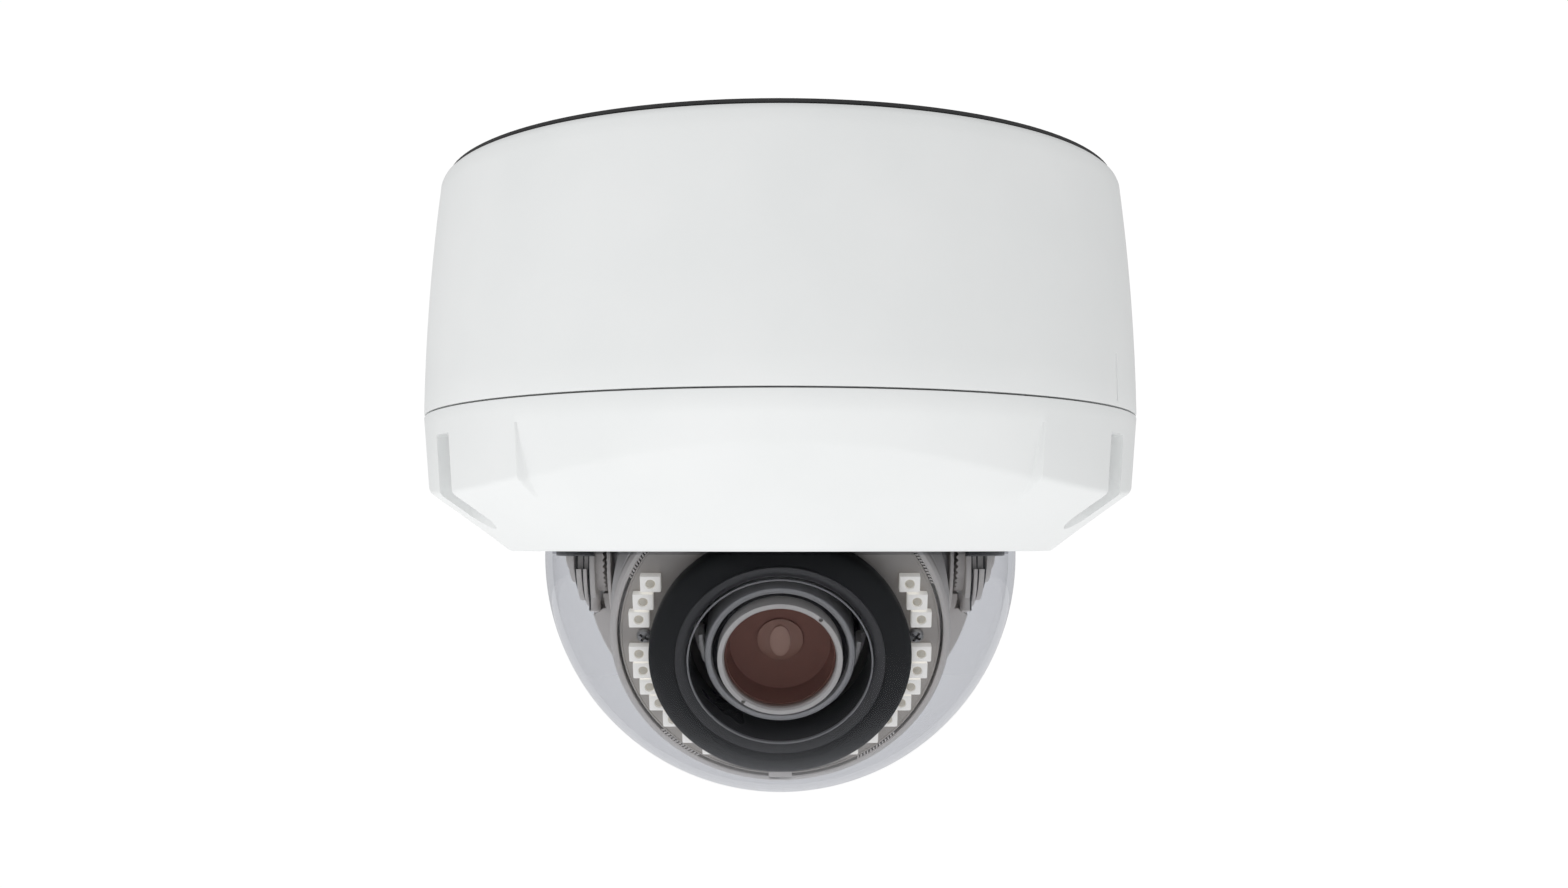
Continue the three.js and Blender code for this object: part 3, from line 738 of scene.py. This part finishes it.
screw_master = make_cover_screw()
for number, angle in enumerate(LUG_ANGLES, 1):
    x, y = around(angle, LUG_RADIUS)
    copy = copy_of(screw_master, f"security_screw_{number}")
    lay(copy, Matrix.Translation((x * MM, y * MM, 0)) @ turn_z(angle * 1.7))
    finish(copy, stainless, "root", [f"cover_screw_{number}"], 30)
bpy.data.objects.remove(screw_master)

# %% [markdown]
# ## The dome
# The bubble is half a sphere with a short straight wall and a flange that the clamp ring holds.
# Outside and inside are arcs, so it is turned with many steps: a clear piece shows every facet.

# %% Dome
DOME_RADIUS = 50.0
DOME_WALL = 1.5
DOME_Z = TILT_CENTRE.z / MM


def arc(radius, centre, start, end, steps):
    points = []
    for i in range(steps + 1):
        a = math.radians(start + (end - start) * i / steps)
        points.append((radius * math.cos(a), centre + radius * math.sin(a)))
    return points


def make_dome():
    inner = DOME_RADIUS - DOME_WALL
    outside = arc(DOME_RADIUS, DOME_Z, 0, -90, 48)
    inside = arc(inner, DOME_Z, -90, 0, 48)
    outside[-1] = (0, DOME_Z - DOME_RADIUS)
    inside[0] = (0, DOME_Z - inner)
    flange = [(inner, -72.7), (55.6, -72.7), (55.6, -74.7), (50.5, -74.7), (DOME_RADIUS, -75.2)]
    return turned("clear_dome", inside + flange + outside, 192)


dome = finish(make_dome(), dome_clear, "root", ["dome_bubble"], 40)
dome.data.materials.append(dome_inside)
dome_middle = Vector((0, 0, DOME_Z * MM))
wall_middle = (DOME_RADIUS - DOME_WALL / 2) * MM
inside_faces = 0
for face in dome.data.polygons:
    if (face.center - dome_middle).length < wall_middle and face.center.z < dome_middle.z:
        face.material_index = 1
        inside_faces += 1
print("untinted faces inside the dome:", inside_faces)

# %% [markdown]
# ## The pan stage
# A black liner turns with the pan stage and hides the works behind the cover. It is a thin cup
# with a window at the front for the module. Two grey arms hang from it and hold the tilt axis.
# Their lower ends are stepped in layers so that they follow the curve of the dome.

# %% Liner


def make_liner():
    outline = [(4, -26), (7.6, -26), (7.6, -34), (47.4, -34), (47.7, -34.3), (47.7, -78.2),
               (47.5, -78.4), (46.4, -78.4), (46.2, -78.2), (46.2, -37), (4, -37)]
    liner = turned("pan_liner", outline, 144)
    cut(liner, block("window", (-36.5, -60, -80), (36.5, 0, -62), 3.0, 4))
    cut(liner, rod("lock_hole", 1.7, -40, -30, (0, 24), 24))
    return liner


finish(make_liner(), liner_black, "pan_stage", ["pan_base"], 30)

# %% [markdown]
# Each arm is a stack of plates with rounded ends. Every other plate is narrower and painted black,
# so the arm shows light ribs and dark grooves: painted shade between the ribs. The plates near the middle are set
# back at their edges.

# %% Yoke arms
ARM_TOP = -37.3
RECESS_EDGE = 6.5
ARM_LAYERS = (
    # inner and outer |x|, half width along y, drop of the rounded end below the tilt axis
    (38.8, 39.9, 9.5, 12.6),
    (39.9, 40.5, 8.2, 10.8),
    (40.5, 41.3, 9.3, 11.2),
    (41.3, 41.6, 8.8, 10.4),
    (41.6, 42.7, 9.6, 10.0),
    (42.7, 43.2, 8.8, 8.0),
    (43.2, 44.3, 9.3, 6.2),
    (44.3, 45.0, 8.4, 3.6),
)


def make_arm(side):
    word = "right" if side > 0 else "left"
    layers = []
    for inner, outer, half, drop in ARM_LAYERS:
        set_back = 39.5 < inner < 43
        plate = block("plate", (inner, -half, DOME_Z), (outer, half, ARM_TOP), 0.12)
        end = rod("end", half, inner, outer, (0, 0), 72, 0.12)
        lay(end, Matrix.Translation((0, 0, DOME_Z * MM)) @ Matrix.Scale(drop / half, 4, (0, 0, 1))
            @ Matrix.Rotation(math.pi / 2, 4, "Y"))
        for piece in (plate, end) if set_back else ():
            for y in (-RECESS_EDGE, RECESS_EDGE):
                low, high = sorted((y, y * 2))
                cut(piece, block("recess", (inner - 1, low, DOME_Z - 3.2), (outer + 1, high, ARM_TOP + 1)))
        layers += [plate, end]
    arm = merge_objects(layers[0], layers[1:])
    arm.name = f"yoke_arm_{word}"
    for y in (-5.5, 5.5):
        foot = turned("foot_screw", [(0, -3), (0.95, -3), (0.95, 0.3), (0.6, 0.55), (0, 0.55)], 24)
        place = Matrix.Translation((39.4 * MM, y * MM, (DOME_Z - 11.6) * MM))
        lay(foot, place @ Matrix.Rotation(math.pi, 4, "X"))
        merge_objects(arm, [foot])
    if side < 0:
        lay(arm, turn_z(180))
    return arm


ARM_GROOVES_PAINTED_SHADE = ((39.9, 40.5), (41.3, 41.6), (42.7, 43.2))
for side, word in ((1, "right"), (-1, "left")):
    arm = finish(make_arm(side), taupe, "pan_stage", [f"yoke_{word}"], 30)
    # The groove faces get the black material as painted shade between the ribs.
    arm.data.materials.append(liner_black)
    for face in arm.data.polygons:
        reach = abs(face.center.x) / MM
        if any(low < reach < high for low, high in ARM_GROOVES_PAINTED_SHADE):
            face.material_index = 1

# %% [markdown]
# ## The tilt stage
# Each side has a pair of toothed discs on the tilt axis that lock the angle when the pivot is
# tightened. A disc starts as a many-sided cylinder; its face is inset and every other corner is
# pushed out along the axis, which raises a ring of radial teeth.

# %% Ratchet discs
RATCHET_RADIUS = 8.0
RATCHET_TEETH = 36


def make_ratchet(name, low, high, tooth):
    deselect()
    bpy.ops.mesh.primitive_cylinder_add(vertices=RATCHET_TEETH * 2, radius=RATCHET_RADIUS * MM,
                                        depth=(high - low) * MM, location=(0, 0, (low + high) / 2 * MM))
    disc = bpy.context.object
    disc.name = name
    bpy.ops.object.transform_apply(location=True, rotation=True, scale=True)
    face_height = (high if tooth > 0 else low) * MM
    edit(disc)
    bpy.ops.mesh.select_all(action="DESELECT")
    done()
    for face in disc.data.polygons:
        face.select = abs(face.center.z - face_height) < 1e-7 and abs(face.normal.z) > 0.9
    bpy.ops.object.mode_set(mode="EDIT")
    bpy.ops.mesh.select_mode(type="FACE")
    bpy.ops.mesh.inset(thickness=2.4 * MM)
    done()
    for vertex in disc.data.vertices:
        if abs(vertex.co.z - face_height) < 1e-7:
            turn = math.atan2(vertex.co.y, vertex.co.x) * RATCHET_TEETH / math.pi
            if round(turn) % 2:
                vertex.co.z += tooth * MM
    return disc


def lay_ratchet(disc, side, place):
    lay(disc, place @ Matrix.Rotation(side * math.pi / 2, 4, "Y"))
    return disc


for side, word in ((1, "right"), (-1, "left")):
    fixed = lay_ratchet(make_ratchet(f"ratchet_fixed_{word}", 37.4, 38.9, -0.5), side,
                        Matrix.Translation(TILT_CENTRE))
    finish(fixed, taupe, "pan_stage", [], 20)
    moving = lay_ratchet(make_ratchet(f"ratchet_moving_{word}", 35.7, 36.1, 0.5), side, TILT_FRAME)
    finish(moving, taupe, "tilt_stage", [f"tilt_ratchet_{word}"], 20)

# %% [markdown]
# The tilt ring carries the module between the arms. It is a turned hoop with a wider half below
# the axis, two round cheeks that bear on the arms, and a rim of small teeth. Room is cut out of
# it round the toothed discs, so that the ring passes them at every angle.

# %% Tilt ring
HOOP_TOOTH_PITCH = 2.1
HOOP_TOOTH_RADIUS = 37.4
HOOP_TOOTH_DEPTH = 2.9
HOOP_EDGE = -13.6
CHEEK_RADIUS = 13
RATCHET_GAP = 8.6


def make_tilt_ring():
    outline = [(35.4, 0.2), (38.5, 0.2), (38.5, 3.3), (38.3, 3.5), (37.7, 3.5), (35.4, 2.6)]
    hoop = turned("tilt_hoop", outline, 180)
    lower_outline = [(38.0, -1.0), (41.3, -1.0), (41.6, -0.7), (41.6, 3.1), (41.2, 3.5), (38.0, 3.5)]
    lower = turned("lower_hoop", lower_outline, 180)
    edge_y = HOOP_EDGE + AXIS_DROP / MM
    keep = [(-44, -60), (44, -60), (44, edge_y - 2.5), (38.3, edge_y + 2.2), (-38.3, edge_y + 2.2),
            (-44, edge_y - 2.5)]
    combine(lower, prism("keep", keep, -5, 8), "INTERSECT")
    combine(hoop, lower, "UNION")
    teeth = []
    tooth = prism("tooth", [(37.9, -0.62), (37.9, 0.62), (36.9, 0)], 2.3, 3.45)
    count = int(360 / HOOP_TOOTH_PITCH)
    for i in range(count):
        turn = i * 360 / count
        rise = HOOP_TOOTH_RADIUS * math.sin(math.radians(turn)) - AXIS_DROP / MM
        if math.hypot(rise, HOOP_TOOTH_DEPTH) < RATCHET_GAP + 0.3:
            continue
        copy = copy_of(tooth, "tooth_copy")
        lay(copy, turn_z(turn))
        teeth.append(copy)
    bpy.data.objects.remove(tooth)
    lay(hoop, Matrix.Translation((0, -AXIS_DROP, 0)))
    for side in (-1, 1):
        room = rod("room", RATCHET_GAP, 36.7, 50, (0, 0), 96)
        lay(room, Matrix.Rotation(side * math.pi / 2, 4, "Y"))
        cut(hoop, room)
    for copy in teeth:
        lay(copy, Matrix.Translation((0, -AXIS_DROP, 0)))
    for side in (-1, 1):
        cheek = rod("cheek", CHEEK_RADIUS, 35.1, 35.8, (0, 0), 96, 0.12)
        lay(cheek, Matrix.Rotation(side * math.pi / 2, 4, "Y"))
        combine(hoop, cheek, "UNION")
    merge_objects(hoop, teeth)
    lay(hoop, TILT_FRAME)
    return hoop


def make_pivot(side):
    word = "right" if side > 0 else "left"
    outline = [(0, 35.3), (2, 35.3), (2, 43), (3.5, 43), (3.5, 44), (2.9, 44.4), (0, 44.4)]
    pivot = turned(f"pivot_screw_{word}", outline, 40)
    for turn in (0, 90):
        blade = block("blade", (-2, -0.35, 43.4), (2, 0.35, 46))
        lay(blade, turn_z(turn))
        cut(pivot, blade)
    lay(pivot, TILT_FRAME @ Matrix.Rotation(side * math.pi / 2, 4, "Y"))
    return pivot


finish(make_tilt_ring(), taupe, "tilt_stage", ["tilt_ring"], 30)
for side, word in ((1, "right"), (-1, "left")):
    finish(make_pivot(side), stainless, "tilt_stage", [f"tilt_pivot_{word}"], 30)

# %% [markdown]
# ## The camera module
# The housing is a silver bowl closed at the front by a grey bezel and the LED board. The bezel's
# inner edge leaves a fine dark gap round the board, and short runs of small teeth grip it there.

# %% Housing and bezel


def make_housing():
    outline = [(4, -16), (15, -16), (20, -14.8), (26, -12), (30.6, -7), (33, -2), (34.3, 4), (34.8, 10),
               (34.6, 18), (33.6, 25.4), (33.2, 25.7), (31, 25.7), (32.8, 10), (31, -1), (25, -10.4),
               (16, -13.6), (4, -13.6)]
    bowl = turned("module_bowl", outline, 128)
    lay(bowl, LENS_FRAME)
    return bowl


TOOTH_RUNS = ((22, 58), (122, 158), (222, 240), (300, 318))
TOOTH_PITCH = 1.35
TOOTH_RADIUS = 31.75
TOOTH_LEAN = -32


def make_bezel():
    outline = [(32.1, 27.4), (33.0, 26.2), (33.4, 26.4), (33.65, 27), (33.65, 29.3), (33.5, 29.75),
               (33.0, 30.4), (32.7, 30.5), (32.3, 30.5), (32.1, 30.35)]
    bezel = turned("bezel_ring", outline, 144)
    tooth = block("tooth", (31.5, -0.18, 29.4), (32.25, 0.18, 30.3), 0.05, 1)
    pivot = Matrix.Translation((TOOTH_RADIUS * MM, 0, 0))
    lay(tooth, pivot @ turn_z(TOOTH_LEAN) @ pivot.inverted())
    teeth = []
    for start, end in TOOTH_RUNS:
        for i in range(int((end - start) / TOOTH_PITCH)):
            copy = copy_of(tooth, "tooth_copy")
            lay(copy, turn_z(start + i * TOOTH_PITCH))
            teeth.append(copy)
    bpy.data.objects.remove(tooth)
    merge_objects(bezel, teeth)
    tab = block("tab", (-2.4, -33.1, 29.7), (2.4, -31.0, 30.5), 0.15)
    merge_objects(bezel, [tab])
    lay(bezel, LENS_FRAME)
    return bezel


finish(make_housing(), silver, "camera_module", ["module_housing"], 30)
finish(make_bezel(), taupe, "camera_module", ["ir_bezel"], 30)

# %% [markdown]
# ## The LED board and its emitters
# The board is a flat ring with two small notches. Each emitter is a white package with a round
# well and a drop of resin over the chip. One package is modelled and copied, and the copies are
# joined to one piece, because they never move apart.

# %% Board
LED_RADIUS = 27.9
LED_ANGLES = (-26.2, -17.6, -9.5, 6.1, 13.9, 21.9, 30.2, 39.6, 50.6, 60.5)


def make_board():
    outline = [(19.5, 28.6), (31.5, 28.6), (31.5, 30.3), (31.4, 30.4), (31.2, 30.4), (31.05, 30.2),
               (19.5, 30.2)]
    board = turned("emitter_board", outline, 144)
    for side in (-1, 1):
        notch = block("notch", (side * 16.6 - 0.9, 18.6, 27), (side * 16.6 + 0.9, 21.4, 31), 0.3)
        cut(board, notch)
    lay(board, LENS_FRAME)
    return board


finish(make_board(), board_satin, "camera_module", ["led_board"], 30)

# %% Emitters


def make_emitter():
    package = block("package", (-2.0, -1.7, 30.22), (2.0, 1.7, 32.0), 0.2, 2)
    well = turned("well", [(0, 31.5), (0.85, 31.5), (1.12, 32.3), (0, 32.3)], 24)
    cut(package, well)
    return package


def make_resin():
    outline = [(0, 31.52), (0.88, 31.52), (0.9, 31.72), (0.6, 31.86), (0.3, 31.92), (0, 31.94)]
    return turned("resin", outline, 20)


def led_angles():
    return [-angle for angle in LED_ANGLES] + [180 + angle for angle in LED_ANGLES]


def spot(angle, radius):
    return Matrix.Translation((radius * math.cos(math.radians(angle)) * MM,
                               radius * math.sin(math.radians(angle)) * MM, 0))


resin_clear_painted_glow, _, resin_shader = new_material("resin_clear_painted_glow", (0.60, 0.56, 0.47), 0.12)
resin_shader.inputs["Coat Weight"].default_value = 0.6
# The resin drops get a faint painted glow as well.
painted_glow(resin_clear_painted_glow, (1.0, 0.93, 0.8), 0.08)
package_master, resin_master = make_emitter(), make_resin()
packages, resins = [], []
for angle in led_angles():
    for master, kept in ((package_master, packages), (resin_master, resins)):
        copy = copy_of(master, master.name + "_copy")
        lay(copy, LENS_FRAME @ spot(angle, LED_RADIUS))
        kept.append(copy)
bpy.data.objects.remove(package_master)
bpy.data.objects.remove(resin_master)
emitters = merge_objects(packages[0], packages[1:])
emitters.name = "emitter_packages"
finish(emitters, emitter_white_painted_glow, "camera_module", [], 40)
resin_drops = merge_objects(resins[0], resins[1:])
resin_drops.name = "emitter_resin"
finish(resin_drops, resin_clear_painted_glow, "camera_module", [], 40)

# %% [markdown]
# Two small cross-head screws hold the board. Each is turned, and two crossed blades cut the head.

# %% Board screws
BOARD_SCREW_RADIUS = 26.7
BOARD_SCREW_RISE = 0.5


def make_board_screw(name):
    outline = [(0, 26.5), (0.8, 26.5), (0.8, 30.5), (1.5, 30.5), (1.5, 30.9), (1.2, 31.3),
               (0.6, 31.45), (0, 31.45)]
    body = turned(name, outline, 32)
    for turn in (45, 135):
        blade = block("blade", (-1.05, -0.27, 30.3), (1.05, 0.27, 32))
        lay(blade, turn_z(turn))
        cut(body, blade)
    return body


for angle, word in ((0, "right"), (180, "left")):
    head = make_board_screw(f"board_screw_{word}")
    rise = Matrix.Translation((0, BOARD_SCREW_RISE * MM, 0))
    lay(head, LENS_FRAME @ rise @ spot(angle, BOARD_SCREW_RADIUS) @ turn_z(12))
    finish(head, screw_dark, "camera_module", [f"led_board_screw_{word}"], 30)

# %% [markdown]
# ## Shroud and lens
# The soft shroud keeps the LEDs' light out of the lens, so it reaches almost to the dome and its
# front follows the dome's curve. It sits a little below the lens axis. A satin lip leads into the
# bore, edged by a thin pale ring with four small notches: the ring is a painted highlight on the bore's edge.

# %% Shroud
SHROUD_DROP = 1.3
EDGE_NOTCHES = (-3, 183, 222, 318)


def make_shroud():
    outline = [(0, 30.6), (24.2, 30.6), (24.2, 32.3), (24.8, 32.6), (25.3, 33.6), (25.5, 35.4), (25.45, 36.6),
               (25.2, 37.3), (24.5, 38.0), (23.4, 38.8), (22.0, 39.6), (20.9, 40.3), (20.3, 40.6), (0, 40.6)]
    shroud = turned("soft_shroud", outline, 160)
    lay(shroud, Matrix.Translation((0, -SHROUD_DROP * MM, 0)))
    bore = [(0, 29), (18.5, 29), (18.5, 39.2), (20.2, 40.5), (20.3, 41.5), (0, 41.5)]
    cut(shroud, turned("bore", bore, 160))
    lay(shroud, LENS_FRAME)
    return shroud


def make_bore_edge_highlight():
    outline = [(17.45, 40.35), (17.78, 40.5), (17.78, 40.85), (17.6, 40.95), (17.45, 40.85)]
    edge = turned("bore_edge_painted_highlight", outline, 160)
    for angle in EDGE_NOTCHES:
        notch = block("notch", (16.9, -0.25, 40.7), (18.4, 0.25, 41.5))
        lay(notch, turn_z(angle))
        cut(edge, notch)
    lay(edge, LENS_FRAME)
    return edge


def make_lip():
    outline = [(17.8, 30.7), (18.45, 30.7), (18.45, 39.0), (20.1, 40.35), (20.1, 40.6), (19.9, 40.65),
               (18.6, 40.2), (17.95, 39.95), (17.8, 39.7)]
    lip = turned("shroud_lip", outline, 160)
    lay(lip, LENS_FRAME)
    return lip


lip_satin = moulded("lip_satin", (0.028, 0.028, 0.03), (0.038, 0.038, 0.04), 0.3, 2600, 2e-6)
# The pale ring's grey is a painted highlight on the bore's edge.
edge_painted_highlight = moulded("edge_painted_highlight", (0.20, 0.20, 0.205), (0.24, 0.24, 0.245), 0.3, 2600, 2e-6)
finish(make_shroud(), rubber_black, "camera_module", ["lens_shroud"], 35)
finish(make_lip(), lip_satin, "camera_module", [], 35)
finish(make_bore_edge_highlight(), edge_painted_highlight, "camera_module", [], 35)

# %% [markdown]
# The barrel ends in a grey ring. Inside it, past a dark gap, a paler retaining ring with two
# spanner holes holds the front glass. A black ring at the bottom of the gap is painted shade there.

# %% Lens barrel and rings
SPANNER_HOLES = (48, 232)


def make_barrel():
    outline = [(10.9, 6.4), (12, 6.4), (12, 25.6), (14.6, 27.2), (14.6, 37.3), (14.35, 37.8), (13.9, 38),
               (13.35, 37.8), (13.15, 37.3), (13.15, 34.5), (10.9, 34.5)]
    barrel = turned("lens_tube", outline, 128)
    lay(barrel, LENS_FRAME)
    return barrel


def make_retainer():
    outline = [(10.8, 34.6), (12.05, 34.6), (12.05, 39.35), (11.95, 39.6), (11.1, 39.6), (10.8, 39.2)]
    ring = turned("glass_retainer", outline, 128)
    for angle in SPANNER_HOLES:
        hole = rod("spanner_hole", 0.42, 38.6, 41, (0, 0), 16)
        lay(hole, spot(angle, 11.55))
        cut(ring, hole)
    lay(ring, LENS_FRAME)
    return ring


finish(make_barrel(), ring_grey, "camera_module", ["lens_barrel"], 35)
finish(make_retainer(), ring_light, "camera_module", ["retaining_ring"], 30)
# A black ring in the gap: painted shade.
shade_ring = turned("gap_painted_shade_ring", [(12.1, 34.55), (13.1, 34.55), (13.1, 36.4), (12.6, 36.1), (12.1, 36.4)], 96)
lay(shade_ring, LENS_FRAME)
finish(shade_ring, lens_black, "camera_module", [], 30)

# %% [markdown]
# Two knurled rings set the zoom and the focus, and each has an arm for the fitter's finger that
# leans in beside the barrel. The knurling is an inset of every other strip of the ring's side.

# %% Levers and grip rings


def make_lever(name, turn, start):
    """A curved arm that stands on its ring and leans in beside the lens tube."""
    outer = [(16.1, start), (17.3, start), (17.3, 25.4), (16.2, 26.6), (16.2, 30.2), (16.0, 30.5),
             (15.3, 30.5), (15.1, 30.2), (15.1, 26.2), (16.1, 25.0)]
    lever = turned(name, outer, 180)
    combine(lever, block("width", (0, -3, 0), (40, 3, 60)), "INTERSECT")
    foot = block("foot", (15.2, -2.6, start), (18.3, 2.6, start + 1.6), 0.3)
    combine(lever, foot, "UNION")
    bevel(lever, 0.12, 2, 50)
    lay(lever, turn_z(turn))
    lay(lever, LENS_FRAME)
    return lever


def make_grip_ring(name, low):
    """A knurled ring: every other strip of its side is pushed in."""
    ring = turned(name, [(12.3, low), (15.6, low), (15.6, low + 6), (12.3, low + 6)], 120)
    edit(ring)
    bpy.ops.mesh.select_all(action="DESELECT")
    done()
    for face in ring.data.polygons:
        turn = math.degrees(math.atan2(face.center.y, face.center.x)) % 360
        outside = math.hypot(face.center.x, face.center.y) > 15.4 * MM and abs(face.normal.z) < 0.5
        face.select = outside and int(turn / 3) % 2 == 0
    bpy.ops.object.mode_set(mode="EDIT")
    bpy.ops.mesh.select_mode(type="FACE")
    bpy.ops.mesh.inset(thickness=0.12 * MM, depth=-0.3 * MM, use_individual=True)
    done()
    lay(ring, LENS_FRAME)
    return ring


lever_grey = turned_metal("lever_grey", (0.86, 0.85, 0.83), 0.3, 0.1)
CONTROLS = (("zoom", 189, 17.4, "zoom_control", 17), ("focus", -15, 8.4, "focus_control", 8))
for name, turn, start, body, low in CONTROLS:
    arm = make_lever(f"{name}_lock_arm", turn, start)
    finish(arm, lever_grey, body, [f"{name}_lever"], 35)
    grip = make_grip_ring(f"{name}_grip_ring", low)
    finish(grip, lens_black, body, [f"{name}_ring"], 30)

# %% [markdown]
# The front glass is clear with a faint brown coating. The real lens shows brown depth with a pale
# disc and an ellipse in it: the brown is the coating's reflection and the shade deep in the barrel,
# and the disc and ellipse are reflections. Traced reflections would be noisy, so a brown well, a second
# element and a small pale disc stand in for them, as solids: painted reflections, and painted shade in the well.

# %% Glass
REFLECTION_DISC_STRETCH = 1.65


def lens_shape(name, radius, low, high, bulge, segments=96):
    """A plano-convex glass: flat behind, a shallow arc in front."""
    sphere = (radius ** 2 + bulge ** 2) / (2 * bulge)
    reach = math.degrees(math.asin(radius / sphere))
    front = arc(sphere, high + bulge - sphere, 90 - reach, 90, 12)
    front[-1] = (0, high + bulge)
    glass = turned(name, [(0, low), (radius, low)] + front, segments)
    lay(glass, LENS_FRAME)
    return glass


# The inner glass's brown is the coating's reflection, painted.
inner_glass_painted_reflection, _, inner_shader = new_material("inner_glass_painted_reflection", (0.33, 0.25, 0.215), 0.3)
inner_shader.inputs["Coat Weight"].default_value = 0.5
well_painted_reflection_and_shade = new_material("well_painted_reflection_and_shade", (0.25, 0.165, 0.145), 0.6)[0]
finish(lens_shape("front_glass_element", 10.7, 38.0, 38.6, 1.1), front_glass,
       "camera_module", ["front_element"], 40)
# The second element stands in for a reflection: a painted reflection.
finish(lens_shape("second_element_painted_reflection", 4.5, 30.8, 31.4, 0.5), inner_glass_painted_reflection,
       "camera_module", [], 40)
# A small pale disc: a painted reflection in the lens.
pale_painted_reflection, _, pale_shader = new_material("pale_painted_reflection", (0.52, 0.45, 0.40), 0.3)
pale_shader.inputs["Coat Weight"].default_value = 0.5
reflection_disc = turned("painted_reflection_disc", [(0, 31.6), (2.1, 31.6), (2.0, 32.0), (1.4, 32.25), (0, 32.35)], 48)
lay(reflection_disc, LENS_FRAME @ Matrix.Scale(REFLECTION_DISC_STRETCH, 4, (0, 1, 0)))
finish(reflection_disc, pale_painted_reflection, "camera_module", [], 40)
# The brown well paints the coating's reflection and the shade deep in the barrel.
well = turned("lens_well_painted_reflection_and_shade", [(0, 29.4), (10.4, 29.4), (10.7, 37.9), (10.4, 37.9), (9.8, 33.2), (4.7, 31.0),
                            (0, 31.0)], 96)
lay(well, LENS_FRAME)
finish(well, well_painted_reflection_and_shade, "camera_module", [], 40)

# %% [markdown]
# ## Pieces kept from the frame
# What is sealed in the drum or hidden behind the module keeps its CAD shape, and gets the finish
# of its material.

# %% Finishes for kept nodes
KEPT = {
    "zinc_plate": zinc,
    "screw_steel": stainless,
    "heatsink_aluminium": dark_alloy,
    "black_plastic": liner_black,
    "board_green": resist_green,
    "seal_rubber": seal_black,
    "lens_black": lens_black,
    "lens_glass": inner_glass_painted_reflection,
}
for part in frame["record"]["subparts"]:
    node = NODES[part["node"]]
    if part["material_slot"] in KEPT and not node.hide_render:
        node.data.materials.clear()
        node.data.materials.append(KEPT[part["material_slot"]])
